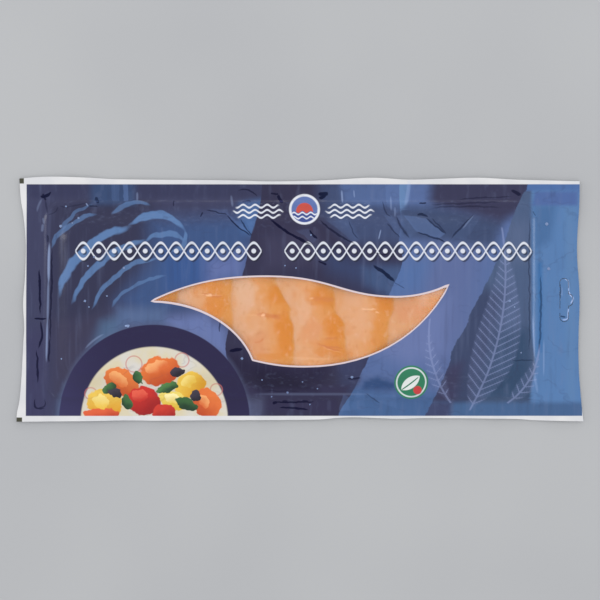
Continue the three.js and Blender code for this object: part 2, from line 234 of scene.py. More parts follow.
# Welts in the relief, each with a painted highlight along it, also along the hang slot's cut edges.
HIGHLIGHT_FOLDS = [
    ((48.6, 241), (47.8, 284), 0.4, 1.8, 0.5), ((47.6, 276), (46.4, 326), 0, 1.6, 0.28),
    ((46.4, 318), (45.2, 364), 0, 1.5, 0.36), ((533.6, 314), (535.8, 360), 0, 1.3, 0.28),
    ((535.4, 374), (539, 394), 0, 1.8, 0.16), ((545, 338), (545, 378), 0, 1.2, 0.2),
    ((41, 198), (35.5, 212), 1, 1.5, 0.13), ((41.5, 217), (42.8, 224), 0, 1.5, 0.15),
    ((41.6, 223), (40.6, 232), 0, 1.9, 0.18), ((85, 202.6), (87.5, 206), 0, 0.9, 0.45),
    ((474.5, 214.5), (462, 229.5), 0, 1.2, 0.16), ((341.8, 189), (342.8, 203), 0, 1.3, 0.36),
    ((354, 189), (354.8, 197.5), 0, 1.1, 0.26), ((391, 195), (391.6, 211), 0, 1.3, 0.2),
    ((395.4, 206), (395.2, 217), 0, 1.3, 0.16), ((409.6, 178), (405.2, 207), -1, 2.6, 0.2),
    ((230.6, 194), (232.4, 207), 0, 1.6, 0.16), ((136.4, 191), (136.4, 201), 0, 1.5, 0.2),
    ((381, 229), (378.4, 240), 0, 0.9, 0.4), ((250, 394.5), (376, 394.5), 0, 1.8, 0.1),
    ((84.5, 349.5), (105, 333.5), -1.5, 1.4, 0.2), ((124.5, 326), (130, 325.4), 0, 1.2, 0.8),
    ((565.8, 278.4), (569.6, 281), 0, 0.9, 0.7), ((569.6, 279), (570, 293), 0, 0.9, 0.65),
    ((569.4, 290.6), (574.8, 298), 0.8, 1.1, 0.9), ((574.8, 296.6), (571.4, 304), -0.6, 1.1, 0.8),
    ((570, 307), (569.2, 319.5), 0.4, 1.0, 0.7), ((569.8, 318), (563, 319.8), -0.8, 1.0, 0.75),
    ((563, 286), (563.2, 297), 0, 0.8, 0.2),
]
# Painted reflections on flat patches of film between folds that mirror more light: strength,
# fade in pixels, and corners in pixels. The first side is crisp.
FACET_REFLECTION_TONE = (120, 152, 212)
FACET_REFLECTIONS = [
    (0.07, 3, [(296, 230), (313, 243.5), (316.5, 238.5), (309, 229.5)]),
    (0.07, 5, [(326, 219.5), (355, 243.5), (360, 238), (349, 219)]),
    (0.08, 3, [(384, 215), (399, 237), (405, 237), (393, 216)]),
    (0.08, 4, [(397, 217), (410.5, 237), (417, 232), (404, 214)]),
    (0.18, 1.5, [(425, 217.5), (445, 234), (438, 239), (416, 232), (403.5, 215)]),
    (0.12, 3, [(227, 214.5), (244, 231), (250.8, 237), (248, 229), (236, 219)]),
    (0.06, 2, [(246, 222), (252, 233), (254.5, 230), (256, 219.5)]),
    (0.07, 1.5, [(228, 215), (217, 214), (210, 208.6), (227, 209)]),
    (0.08, 1.2, [(110, 182), (111, 201), (117.6, 201), (118.8, 182)]),
    (0.2, 1.2, [(127.6, 182), (127.2, 200), (122.4, 200), (122, 182)]),
    (0.1, 3, [(386, 182), (386.5, 205), (397, 213), (410, 201), (412, 182)]),
    (0.04, 2, [(453, 237), (474, 214), (482, 216), (466, 240)]),
    (0.12, 2.5, [(339, 410.5), (343, 395), (349, 398), (350, 410.5)]),
    (0.05, 2.5, [(350, 410.5), (358, 391), (364, 396), (366, 410.5)]),
    (0.07, 2.5, [(378, 402), (366, 394), (396, 396), (398, 409)]),
]
BUBBLES = [  # place and radius in pixels
    (65, 206, 0.9), (78, 218, 1.2), (72, 223, 0.9), (60, 226, 1.6), (94, 257, 1), (88, 266, 1),
    (124, 268, 1.2), (107, 296, 0.8), (85, 301, 1.2), (89, 307, 0.8), (128, 326, 1.4),
    (61, 359, 0.9), (242, 358.5, 1.3), (262, 380, 0.9), (287.5, 393, 1.2), (271.5, 397, 0.8),
    (302.5, 382, 0.8), (317.5, 389, 0.8), (310, 405, 0.8), (352, 377, 1.5), (285, 265.6, 0.8),
    (296, 268, 0.8), (311, 235, 0.9), (548, 223.6, 1.7), (550, 268.6, 1.6), (510, 301, 1.3),
    (515, 307, 0.9), (522, 353, 0.8),
]

# ---- print: soft fields of colour, each a colour, softness in mm, corners in pixels ----
GROUND = (64, 66, 94)
LEFT_FIELDS = [
    ((54, 55, 79), 8,
     [(50, 204), (100, 196), (150, 200), (165, 235), (130, 292), (96, 320), (50, 332)]),
    ((62, 60, 83), 8, [(52, 322), (100, 316), (84, 352), (66, 394), (52, 396)]),
    ((78, 100, 132), 6,
     [(67, 388), (93, 348), (101, 322), (126, 314), (122, 330), (80, 424), (57, 424), (60, 402)]),
    ((62, 84, 127), 12,
     [(150, 220), (232, 217), (258, 204), (246, 300), (140, 318), (120, 300), (150, 260)]),
    ((58, 86, 138), 8, [(165, 255), (215, 250), (215, 285), (165, 290)]),
    ((96, 110, 160), 9, [(206, 258), (247, 252), (243, 278), (206, 284)]),
    ((102, 116, 164), 7, [(160, 318), (205, 312), (228, 330), (232, 362), (212, 352), (180, 338)]),
    ((84, 103, 141), 6, [(118, 308), (165, 308), (165, 324), (118, 326)]),
    ((58, 60, 88), 3, [(20, 170), (262, 170), (262, 197), (20, 197)]),
    ((72, 102, 150), 5, [(240, 204), (262, 200), (254, 236), (243, 232)]),
    ((63, 63, 94), 8, [(20, 330), (45, 330), (45, 430), (20, 430)]),
    ((56, 74, 110), 4, [(90, 176), (134, 176), (134, 204), (90, 204)]),
]
RIGHT_FIELDS = [
    ((86, 106, 152), 3, [(360, 170), (600, 170), (600, 440), (330, 440), (360, 380)]),
    ((92, 106, 150), 14, [(430, 240), (480, 240), (470, 330), (440, 380), (415, 330)]),
    ((103, 117, 163), 10, [(400, 312), (450, 300), (446, 350), (410, 366), (380, 352)]),
    ((83, 109, 158), 9, [(392, 262), (428, 262), (420, 290), (392, 296)]),
    ((62, 75, 107), 6, [(398, 206), (440, 206), (505, 218), (494, 248), (450, 242), (400, 238)]),
    ((58, 58, 84), 6,
     [(432, 170), (540, 170), (524, 212), (500, 222), (470, 214), (436, 206), (430, 200)]),
    ((97, 127, 168), 2.5, [(391, 170), (411, 170), (407, 204), (398, 212), (390, 204)]),
    ((70, 98, 142), 6, [(336, 386), (440, 396), (430, 424), (330, 424)]),
    ((52, 77, 121), 3, [(364, 381), (378, 377), (395, 383), (397, 390), (362, 390)]),
]
MIDDLE = (53, 51, 75)
MIDDLE_EDGE = [
    (261, 150), (261.5, 192), (256, 220), (251, 236), (246, 262), (242, 277), (228, 331),
    (226.5, 356), (240, 384), (252, 440), (334, 440), (339, 414), (353, 392), (362, 371),
    (368, 359), (388, 298), (402, 264), (399, 240), (401, 222), (400, 200), (400, 150),
]
MIDDLE_FIELDS = [
    ((42, 38, 62), 8, [(226, 352), (300, 366), (328, 362), (324, 388), (240, 388)]),
    ((58, 62, 92), 5, [(338, 362), (370, 352), (360, 394), (340, 396)]),
    ((62, 60, 85), 8, [(264, 236), (312, 230), (330, 262), (264, 270)]),
    ((57, 67, 101), 10, [(318, 250), (370, 262), (410, 268), (400, 304), (330, 272)]),
    ((66, 84, 121), 5, [(362, 268), (404, 266), (396, 300), (366, 284)]),
    ((65, 77, 111), 8, [(318, 178), (420, 178), (410, 246), (352, 244), (322, 214)]),
    ((82, 102, 146), 4, [(338, 176), (404, 176), (404, 204), (372, 206), (344, 202)]),
    ((54, 51, 78), 3, [(244, 386), (350, 386), (346, 396), (248, 396)]),
    ((53, 50, 77), 3, [(262, 398), (338, 398), (336, 413), (262, 413)]),
    ((36, 32, 55), 5, [(254, 369), (286, 373), (318, 391), (258, 391)]),
    ((78, 82, 110), 6, [(236, 399), (262, 399), (262, 424), (236, 424)]),
]
FAR = (75, 92, 124)
FAR_EDGE = [
    (533, 150), (529, 184), (521, 199), (513, 219), (503, 246), (494, 268), (484, 288),
    (480, 296), (470, 314), (467, 324), (460, 336), (452, 350), (450, 362), (445, 374),
    (438, 392), (428, 413), (420, 440), (620, 440), (620, 150),
]
FAR_FIELDS = [
    ((53, 74, 103), 8, [(484, 330), (530, 330), (534, 400), (470, 400)]),
    ((60, 70, 100), 9,
     [(478, 286), (506, 292), (492, 350), (470, 424), (420, 424), (440, 360), (462, 312)]),
    ((61, 61, 90), 5, [(448, 366), (463, 362), (456, 404), (432, 404)]),
    ((84, 99, 131), 7, [(508, 222), (531, 222), (531, 262), (503, 262)]),
    ((87, 123, 170), 1.4,
     [(532.5, 150), (620, 150), (620, 440), (531, 440), (532, 388), (537, 368), (533, 334)]),
    ((74, 108, 153), 5, [(535, 204), (558, 204), (552, 240), (535, 250)]),
    ((62, 110, 164), 1.6, [(539, 262), (543, 262), (543, 352), (539, 352)]),
    ((91, 126, 170), 3, [(566, 206), (577, 206), (577, 400), (568, 400)]),
    ((80, 104, 156), 1.4, [(536, 191), (579, 191), (579, 205), (534, 205)]),
    ((78, 108, 160), 1.4, [(526, 170), (590, 170), (590, 190), (526, 190)]),
    ((70, 98, 138), 2.5, [(420, 403), (590, 403), (590, 424), (416, 424)]),
    ((64, 71, 104), 3, [(424, 402), (454, 402), (450, 424), (418, 424)]),
]
PRINT_CORNERS = [(25.3, 183.7), (581, 183.7), (583.6, 416.4), (24.5, 416.5)]
EYE_MARKS = [(16.6, 177.6, 22.6, 183), (14.3, 418, 20.8, 423.8)]

# ---- print: simple motifs, in pixels, and their colours ----
PLATE = (153.6, 420.6)
PLATE_RIM = 95.8
PLATE_WELL = 73.8
PLATE_HALO = (92, 102, 138)
PLATE_NEAR = (34, 28, 66)
PLATE_FAR = (50, 47, 87)
CREAM = (214, 202, 170)
CREAM_GREY = (211, 207, 200)
# Food on the plate: colour, shade, place, half sizes, turn in degrees.
FOODS = [
    ((236, 196, 84), (214, 150, 36), (103, 403), (18, 14), 20),
    ((247, 222, 132), (232, 190, 74), (100, 402), (9, 6), 20),
    ((228, 124, 60), (190, 80, 34), (121, 382), (18, 13), 35),
    ((244, 170, 106), (220, 112, 54), (119, 379), (11, 6), 35),
    ((228, 118, 56), (190, 74, 32), (160, 371), (20, 14), -12),
    ((244, 168, 108), (216, 104, 50), (156, 367), (12, 6), -20),
    ((236, 194, 76), (212, 150, 34), (190, 385), (16, 12), -30),
    ((247, 220, 124), (230, 188, 70), (188, 382), (8, 5), -30),
    ((230, 120, 60), (188, 74, 36), (207, 404), (16, 13), 60),
    ((244, 168, 106), (216, 108, 56), (204, 402), (8, 5), 60),
    ((204, 48, 40), (152, 26, 28), (143, 401), (17, 14), 0),
    ((230, 96, 74), (198, 46, 38), (139, 396), (8, 6), 10),
    ((238, 214, 108), (216, 178, 56), (173, 401), (14, 9), 15),
    ((250, 236, 170), (234, 206, 104), (172, 399), (8, 4.5), 15),
    ((66, 108, 62), (28, 58, 38), (126, 403), (8, 5), 60),
    ((80, 128, 70), (36, 68, 42), (167, 388), (11, 5), -25),
    ((58, 100, 56), (28, 56, 38), (186, 404), (12, 6), 25),
    ((66, 112, 64), (30, 62, 40), (138, 378), (8, 4.4), 70),
    ((72, 116, 66), (34, 64, 42), (108, 389), (8, 4.6), -40),
    ((62, 56, 70), (32, 28, 40), (177, 372), (6.5, 5.4), 0),
    ((62, 56, 70), (32, 28, 40), (114, 394), (6, 5), 0),
    ((62, 56, 70), (32, 28, 40), (195, 396), (6, 5.2), 0),
    ((222, 96, 58), (184, 62, 38), (100, 415), (16, 7), 0),
    ((204, 58, 44), (154, 32, 32), (163, 413), (13, 8), 0),
]
ONION = (196, 110, 106)
ONION_RINGS = [((134, 364), 8), ((182, 360), 7), ((90, 394), 6), ((216, 390), 6)]
WAVE_TONE = (88, 121, 168)
WAVES = [  # brush strokes: start, end, bow, half width, strength
    ((56, 298), (134, 226), -16, 5.5, 0.95),
    ((72, 306), (150, 240), -15, 4.2, 0.85),
    ((92, 310), (160, 258), -13, 3.2, 0.75),
    ((128, 226), (186, 232), -15, 5.0, 0.95),
    ((146, 242), (186, 244), -10, 3.2, 0.8),
    ((184, 230), (170, 252), -8, 3.0, 0.85),
    ((50, 250), (98, 214), -9, 3.0, 0.6),
    ((60, 232), (92, 206), -6, 2.0, 0.5),
    ((112, 308), (168, 276), -9, 2.2, 0.6),
    ((108, 214), (150, 206), -6, 2.4, 0.6),
]
ROPES = [((168.5, 251), 93), ((408.5, 251), 124)]  # middle and half length of each
ROPE_EYE = 15.5
ROPE_SWING = 8.2
ROPE_STRAND = 1.15
BEAD = 2.2
ROPE_TONE = (214, 217, 226)
ROPE_SHADE = (24, 26, 46)
EMBLEM = (304.5, 209)
EMBLEM_RADIUS = 15.5
EMBLEM_RIM = (222, 224, 230)
SKY = (92, 112, 168)
SUN = (196, 78, 66)
SEA = (56, 74, 138)
FOAM = (216, 220, 230)
SMALL_WAVES = [((258, 211), 23), ((350, 211), 22)]  # middle and half length of each
SMALL_WAVE_TURN = 0.52  # radians in a pixel
SMALL_WAVE_SWING = 1.5
SMALL_WAVE_ROWS = 5.2
SMALL_WAVE_TONE = (216, 219, 227)
BADGE = (411.5, 382.5)
BADGE_RADIUS = 17.0
BADGE_GREEN = (44, 122, 88)
BADGE_RING = (206, 214, 214)
LEAF = (226, 230, 226)
BERRY = (198, 62, 62)
SPRIGS = [  # foot, tip, bow, widest half width
    ((470, 412), (502, 226), 16, 34),
    ((452, 404), (430, 318), -9, 13),
    ((508, 404), (541, 344), 8, 13),
]
SPRIG_SPACING = 7.5
LEAF_SPACING = 3.1
SPRIG_TONE = (140, 152, 196)
SPRIG_HAZE = (128, 142, 186)
PALE_STREAK = (112, 124, 160)
DARK_STREAK = (40, 40, 66)
WRINKLE_SHADE = (40, 44, 78)
LINE_TONE = (215, 199, 203)
EDGE_GREY = (213, 213, 215)
EDGE_WHITE = (222, 221, 221)
EYE_MARK = (66, 66, 52)

# ---- the fish in the window, in pixels ----
SHOWN_EDGES = {  # by the slice's number from 0; the last one lies just clear of the right tip
    1: [(180, 280), (179, 296), (177, 300)],
    2: [(232, 274), (233, 284), (231.5, 300), (233.5, 322), (232, 330)],
    3: [(276, 270), (277, 280), (279, 288), (287, 301), (293.5, 311), (289, 315),
        (293.5, 325), (295, 340), (294.5, 368)],
    4: [(334, 280), (336, 301), (335, 312), (342, 318), (348, 325.5), (345.3, 331),
        (346.5, 343), (349, 360)],
    5: [(393, 286), (395, 300), (394.5, 310), (391, 318), (388, 340), (390, 360)],
    6: [(466, 262), (467, 284), (466, 312)],
}
FLESH_PALE = (225, 169, 127)
FLESH_PEACH = (226, 158, 100)
FLESH_WARM = (224, 146, 64)
FLESH_DEEP = (220, 130, 12)
FIBRE_PALE = (238, 188, 154)
FIBRE_DEEP = (216, 136, 76)
# Deep orange patches: place, half sizes, turn in degrees, strength.
FLESH_PATCHES = [
    ((160, 298), (14, 8), 0, 0.5), ((206, 285), (16, 10), 0, 0.7), ((216, 306), (14, 13), 50, 0.75),
    ((282, 294), (12, 13), 30, 1.0), ((286, 334), (11, 26), 0, 1.0), ((270, 356), (15, 6), 0, 0.6),
    ((324, 298), (17, 9), 10, 0.8), ((337, 325), (13, 15), 0, 1.0), ((334, 348), (19, 9), 10, 0.7),
    ((385, 303), (12, 12), 0, 0.95), ((381, 336), (9, 26), 0, 0.35), ((428, 312), (22, 11), -40, 0.3),
]
# Broad lighter and warmer zones, and one painted light: colour, place, half sizes, turn, strength.
FLESH_TONES_AND_LIGHT = [
    ((227, 182, 148), (245, 295), (12, 21), 0, 0.7), ((219, 145, 92), (256, 346), (15, 13), 0, 0.7),
    ((224, 146, 92), (312, 330), (12, 14), 0, 0.5), ((222, 147, 96), (412, 309), (24, 12), 0, 0.75),
    ((230, 180, 144), (306, 310), (10, 16), 20, 0.5), ((230, 178, 142), (362, 322), (14, 18), 0, 0.4),
    ((216, 142, 80), (332, 354), (18, 7), 0, 0.6), ((231, 181, 148), (184, 298), (8, 8), 0, 0.5),
    ((228, 173, 134), (356, 298), (12, 7), 0, 0.4), ((224, 170, 138), (430, 296), (13, 10), 0, 0.5),
    # The last entry is painted light that lifts the shade falling into the window's right tip.
    ((204, 158, 136), (442, 288), (12, 8), -45, 0.45), ((248, 192, 152), (447, 287), (9, 6), -45, 0.4),
]
# Painted shade along creases of the film over the fish.
CREASE_SHADE = (212, 120, 56)
FLESH_CREASES = [  # start, end, bow, half width, strength
    ((256, 314), (282, 318), 0, 2.4, 0.7), ((272, 317), (281, 314), 0, 0.9, 0.7),
    ((201, 293.5), (222, 297), 0, 2.0, 0.55), ((309, 298), (336, 300), 0, 2.6, 0.5),
    ((316, 343), (342, 351), 1, 1.1, 0.9), ((320, 347), (344, 349), -1, 0.9, 0.8),
    ((324, 339), (338, 338), 0, 0.9, 0.7), ((254, 342), (264, 337), 2, 0.9, 0.6),
]
# Painted highlights where the film over the fish is pinched.
GLINT_TONE = (250, 198, 152)
GLINTS = [
    ((197, 294), (222, 295.5), 0, 0.8, 0.4), ((205.5, 295.4), (212.5, 295.6), 0, 1.6, 0.75),
    ((246, 315), (264, 315), 0, 0.8, 0.3), ((260.5, 315.3), (265.5, 315.3), 0, 2.0, 0.85),
    ((309, 299), (314, 298.6), 0, 1.3, 0.55), ((361, 308), (377, 309.5), 0.5, 1.0, 0.65),
    ((375, 312), (380, 312.6), 0, 1.1, 0.65), ((284, 357), (334, 358.4), 1, 1.8, 0.2),
    ((318, 345), (345, 353), 1, 0.7, 0.25), ((272, 282), (282, 284), 0, 3, 0.15),
]

# ---- plain surfaces: each varies softly between two tones ----
CARD_DARK = (168, 167, 162)
CARD_LIGHT = (196, 196, 191)
BLISTER_DARK = (98, 114, 156)
BLISTER_LIGHT = (126, 148, 188)
FLOOR_DARK = (176, 177, 179)
FLOOR_LIGHT = (182, 183, 184)

# ---- print of the back, in millimetres from the board's middle ----
BACK_GREY = (226, 228, 232)
BACK_WHITE = (240, 240, 241)
PANEL = (166, 60)  # half length and half width of the pale blue panel
PANEL_BLUE = (196, 208, 228)
RULED = (150, 48)  # half length and half width of the ruled part
RULE_SPACING = 12
COLUMN_SPACING = 110
RULE_GREY = (128, 138, 160)

GLOSS_HAZE = 0.012  # linear light that the print's gloss adds all over; its colours leave it out
LEAST_INK = 0.001

# ---- stage, in metres and watts ----
WORLD_TONE = (0.97, 0.98, 1, 1)
WORLD_STRENGTH = 1.0
SOFTBOXES = [  # name, place, size, power
    ("left_softbox", (-1.45, 0.3, 0.3), (0.3, 0.9), 5),
    ("right_softbox", (1.45, 0.1, 0.3), (0.3, 0.9), 4),
    ("upper_softbox", (0.1, 1.45, 0.5), (0.9, 0.3), 2.5),
]
CAMERA_LENS = 100.0
SENSOR = 36.0


# ---- small maths ----
def px(points):
    """Pixels of the photograph as millimetres in the part's frame."""
    p = np.asarray(points, float).reshape(-1, 2)
    return np.column_stack([(p[:, 0] - PX_ZERO[0]) * PX_MM, (PX_ZERO[1] - p[:, 1]) * PX_MM])


def smoothstep(value, low, high):
    t = np.clip((value - low) / (high - low), 0, 1)
    return t * t * (3 - 2 * t)


def linear(colour):
    """An 8-bit sRGB colour as linear light."""
    c = np.asarray(colour, float) / 255
    return np.where(c <= 0.04045, c / 12.92, ((c + 0.055) / 1.055) ** 2.4)


def rgba(colour):
    return (*linear(colour), 1.0)


def ripple(x, y, scale, seed):
    """Smooth random heights from -1 to 1, about scale millimetres from bump to bump."""
    size = 64
    table = np.random.default_rng(seed).uniform(-1, 1, (size, size))
    u, v = x / scale, y / scale
    i, j = np.floor(u).astype(int), np.floor(v).astype(int)
    s, t = smoothstep(u - i, 0, 1), smoothstep(v - j, 0, 1)

    def corner(di, dj):
        return table[(i + di) % size, (j + dj) % size]

    lower = corner(0, 0) * (1 - s) + corner(1, 0) * s
    upper = corner(0, 1) * (1 - s) + corner(1, 1) * s
    return lower * (1 - t) + upper * t


def ripples(x, y, *layers):
    """Several layers of ripple on top of each other."""
    return sum(height * ripple(x, y, scale, seed) for height, scale, seed in layers)


# ---- outlines, in millimetres ----
def spline(points, fine=16):
    """Points along the smooth curve through all the given ones."""
    p = np.asarray(points, float)
    guide = np.vstack([p[:1], p, p[-1:]])
    t = np.linspace(0, 1, fine, endpoint=False)[:, None]
    parts = []
    for before, start, end, after in zip(guide, guide[1:], guide[2:], guide[3:]):
        v0 = (end - before) / 2
        v1 = (after - start) / 2
        cubic = (2 * start - 2 * end + v0 + v1) * t**3
        parts.append(cubic + (3 * end - 3 * start - 2 * v0 - v1) * t**2 + v0 * t + start)
    return np.vstack([*parts, p[-1:]])


def bezier_chain(pieces, fine=60):
    t = np.linspace(0, 1, fine, endpoint=False)[:, None]
    parts = []
    for piece in pieces:
        a, b, c, d = np.asarray(piece, float)
        parts.append(a * (1 - t)**3 + 3 * b * t * (1 - t)**2 + 3 * c * t**2 * (1 - t) + d * t**3)
    return np.vstack([*parts, [pieces[-1][-1]]])


def stretch(line, start, end, count):
    """count points of a line between two shares of its length, without the last one."""
    steps = np.linalg.norm(np.diff(line, axis=0), axis=1)
    length = np.concatenate([[0], np.cumsum(steps)])
    at = length[-1] * (start + (end - start) * np.arange(count) / count)
    return np.column_stack([np.interp(at, length, line[:, i]) for i in (0, 1)])


def edge_ring():
    """The pack's sealed outline, clockwise from the top left corner."""
    long = LONG_POINTS + 2 * CORNER_POINTS
    short = SHORT_POINTS + 2 * CORNER_POINTS
    sides = [(TOP_EDGE, long), (RIGHT_EDGE, short), (BOTTOM_EDGE, long), (LEFT_EDGE, short)]
    return np.vstack([stretch(spline(points), 0, 1, count) for points, count in sides])


def arc(centre, radius, start, end, count):
    angle = start + (end - start) * np.arange(count) / count
    return centre + radius * np.column_stack([np.cos(angle), np.sin(angle)])


def board_ring(inset):
    """The board's outline moved in by inset; it starts halfway round the top left corner."""
    radius = BOARD_CORNER - inset
    if inset > DIP_INSET:
        radius = FISH_CORNER + DIP_INSET - inset
    x = BOARD_LENGTH / 2 - inset - radius
    y = BOARD_WIDTH / 2 - inset - radius
    corners = np.array([(-x, y), (x, y), (x, -y), (-x, -y)])
    parts = []
    for side, count in enumerate([LONG_POINTS, SHORT_POINTS, LONG_POINTS, SHORT_POINTS]):
        corner, following = corners[side], corners[(side + 1) % 4]
        start = math.pi * (0.75 - 0.5 * side)
        square = start - math.pi / 4
        out = radius * np.array([math.cos(square), math.sin(square)])
        parts.append(arc(corner, radius, start, square, CORNER_POINTS))
        parts.append(stretch(np.array([corner + out, following + out]), 0, 1, count))
        parts.append(arc(following, radius, square, square - math.pi / 4, CORNER_POINTS))
    return np.vstack(parts) + BOARD_CENTRE


def shrunk(outline, distance):
    """A clockwise outline moved in by distance, with mitred corners."""
    side = np.roll(outline, -1, axis=0) - outline
    side /= np.linalg.norm(side, axis=1)[:, None]
    after = np.column_stack([side[:, 1], -side[:, 0]])
    before = np.roll(after, 1, axis=0)
    mitre = before + after
    mitre /= np.linalg.norm(mitre, axis=1)[:, None]
    return outline + mitre * (distance / (mitre * before).sum(1))[:, None]


def window_sides(inset):
    """Top, right and left side of the window, moved in from the line's middle by inset."""
    curves = [*WINDOW_TOP, *WINDOW_RIGHT, *WINDOW_LEFT]
    handles = shrunk(np.vstack([curve[:3] for curve in curves]), inset)
    closed = np.vstack([handles, handles[:1]])
    moved = [closed[first:first + 4] for first in range(0, len(handles), 3)]
    return [bezier_chain(side) for side in (moved[:3], moved[3:5], moved[5:])]


def window_ring():
    """The opening's outline, with a point on each tip and on the cusp."""
    top, right, left = window_sides(WINDOW_LINE / 2)
    tip = SHORT_POINTS // 2 + CORNER_POINTS
    long = LONG_POINTS + 2 * CORNER_POINTS
    return np.vstack([
        stretch(top, TIP_SHARE, 1 - TIP_SHARE, long),
        stretch(top, 1 - TIP_SHARE, 1, tip),
        stretch(right, 0, TIP_SHARE, tip),
        stretch(right, TIP_SHARE, 1, RIGHT_OF_CUSP_POINTS),
        stretch(left, 0, 1 - TIP_SHARE, long - RIGHT_OF_CUSP_POINTS),
        stretch(left, 1 - TIP_SHARE, 1, tip),
        stretch(top, 0, TIP_SHARE, tip),
    ])


def slot_ring(grow):
    """The hang slot's outline: a lying slot with a round bump towards the pack's right end."""
    radius = SLOT_WIDTH / 2 + grow
    straight = SLOT_LENGTH / 2 - SLOT_WIDTH / 2
    bump = SLOT_BUMP_WIDTH / 2 + grow
    middle = np.array([SLOT_X, BOARD_CENTRE[1]])
    reach = radius + SLOT_BUMP
    t = np.linspace(0, 1, 8, endpoint=False)[:, None]
    shoulder = np.array([radius, bump])
    corner = np.array([reach, bump])
    peak = np.array([reach, 0])
    upper = shoulder * (1 - t)**2 + 2 * corner * t * (1 - t) + peak * t**2
    lower = upper[:0:-1] * (1, -1)
    side = np.linspace(straight, bump, 12, endpoint=False)[:, None]
    right = np.hstack([np.full_like(side, radius), side])
    left = np.linspace(-straight, straight, 24, endpoint=False)[:, None]
    return middle + np.vstack([
        arc(np.array([0, straight]), radius, math.pi, 0, 12),
        right,
        upper,
        [peak],
        lower,
        shoulder * (1, -1),
        right[:0:-1] * (1, -1),
        arc(np.array([0, -straight]), radius, 0, -math.pi, 12),
        np.hstack([np.full_like(left, -radius), left])[1:],
    ])


def outline_distance(points, outline):
    """Distance of each point to a closed outline, negative inside."""
    x, y = points[:, 0], points[:, 1]
    nearest = np.full(len(points), np.inf)
    inside = np.zeros(len(points), bool)
    for (x0, y0), (x1, y1) in zip(outline, np.roll(outline, -1, axis=0)):
        dx, dy = x1 - x0, y1 - y0
        share = np.clip(((x - x0) * dx + (y - y0) * dy) / (dx * dx + dy * dy), 0, 1)
        nearest = np.minimum(nearest, np.hypot(x - x0 - share * dx, y - y0 - share * dy))
        if y0 != y1:
            spans = (y0 > y) != (y1 > y)
            inside ^= spans & (x < x0 + dx * (y - y0) / dy)
    return np.where(inside, -nearest, nearest)


# ---- heights, in millimetres ----
def inset_of(x, y, inset, radius):
    """How far inside the board's outline a point is, from a ring at inset with rounded corners."""
    half = np.array([BOARD_LENGTH, BOARD_WIDTH]) / 2 - inset - radius
    qx = np.abs(x - BOARD_CENTRE[0]) - half[0]
    qy = np.abs(y - BOARD_CENTRE[1]) - half[1]
    outside = np.hypot(np.maximum(qx, 0), np.maximum(qy, 0))
    return inset + radius - outside - np.minimum(np.maximum(qx, qy), 0)


def plateau_z(x):
    return PLATEAU_Z - LAST_SLICE_DROP * smoothstep(x, LAST_SLICE_DROP_START, LAST_SLICE_DROP_END)


def film_z(x, y):
    """Underside of the front film before its folds."""
    ridge = BOARD_TOP + RIDGE_HEIGHT
    dip = BOARD_TOP + DIP_HEIGHT
    on_board = inset_of(x, y, 0, BOARD_CORNER)
    on_fish = inset_of(x, y, DIP_INSET, FISH_CORNER)
    climb = smoothstep(on_board, -RIDGE_FOOT, RIDGE_HALF_WIDTH)
    outer = FRONT_SEAL_Z + (ridge - FRONT_SEAL_Z) * climb
    inner = ridge + (dip - ridge) * smoothstep(on_board, RIDGE_HALF_WIDTH, DIP_INSET)
    fish = (plateau_z(x) - dip) * smoothstep(on_fish, DIP_INSET, PLATEAU_INSET)
    return np.where(on_board < RIDGE_HALF_WIDTH, outer, inner + fish)


def margin_lift(x, y):
    """How far both films rise off the floor outside the board."""
    out = -inset_of(x, y, 0, BOARD_CORNER) - RIDGE_FOOT
    wave = 1 + ripples(x, y, *LIFT_RIPPLES)
    return MARGIN_LIFT * smoothstep(out, 1, 15) * np.maximum(wave, 0)


def fold_profile(x, y, fold, widen):
    """One fold's height from 0 to its strength, a bent ridge that is highest halfway along."""
    start, end, bow, half_width, strength = fold
    (sx, sy), (ex, ey) = px([start, end])
    along = np.array([ex - sx, ey - sy])
    half = np.linalg.norm(along) / 2
    along /= 2 * half
    dx, dy = x - (sx + ex) / 2, y - (sy + ey) / 2
    u = (dx * along[0] + dy * along[1]) / half
    v = dy * along[0] - dx * along[1] + bow * PX_MM * (1 - u**2)
    across = np.exp(-((v / (half_width * PX_MM * widen))**2))
    return strength * across * np.clip(1 - u**2, 0, 1)


def relief(x, y):
    """Folds, ripples and slice steps that show in the film, on top of film_z."""
    on_fish = inset_of(x, y, DIP_INSET, FISH_CORNER)
    margin = smoothstep(-inset_of(x, y, 0, BOARD_CORNER), 0, 6)
    height = ripples(x, y, *FILM_RIPPLES)
    height += margin * ripples(x, y, MARGIN_RIPPLE)
    height += (1 - margin) * ripples(x * 2.2, y, BOARD_RIPPLE)
    for edge, lean, _ in SLICES:
        across = (y - BOARD_CENTRE[1]) / (SLICE_WIDTH / 2)
        step = x - edge - lean * across
        height -= SLICE_STEP * np.exp(-((step - 2) / 4)**2) * smoothstep(on_fish, 10, 24)
    for fold in SHADED_FOLDS:
        height -= GROOVE * fold_profile(x, y, fold, SHADED_FOLD_WIDEN)
    for fold in HIGHLIGHT_FOLDS:
        height += WELT * fold_profile(x, y, fold, HIGHLIGHT_FOLD_WIDEN)
    return np.clip(height, RELIEF_LOW, RELIEF_HIGH)


def film_top(x, y):
    return np.minimum(film_z(x, y) + FILM + margin_lift(x, y) + relief(x, y), TALLEST)


# ---- meshes ----
def cells(grid):
    """Quads of a grid of vertex numbers, seen from its upper side."""
    corners = [grid[:-1, :-1], grid[1:, :-1], grid[1:, 1:], grid[:-1, 1:]]
    return np.stack(corners, axis=-1).reshape(-1, 4)


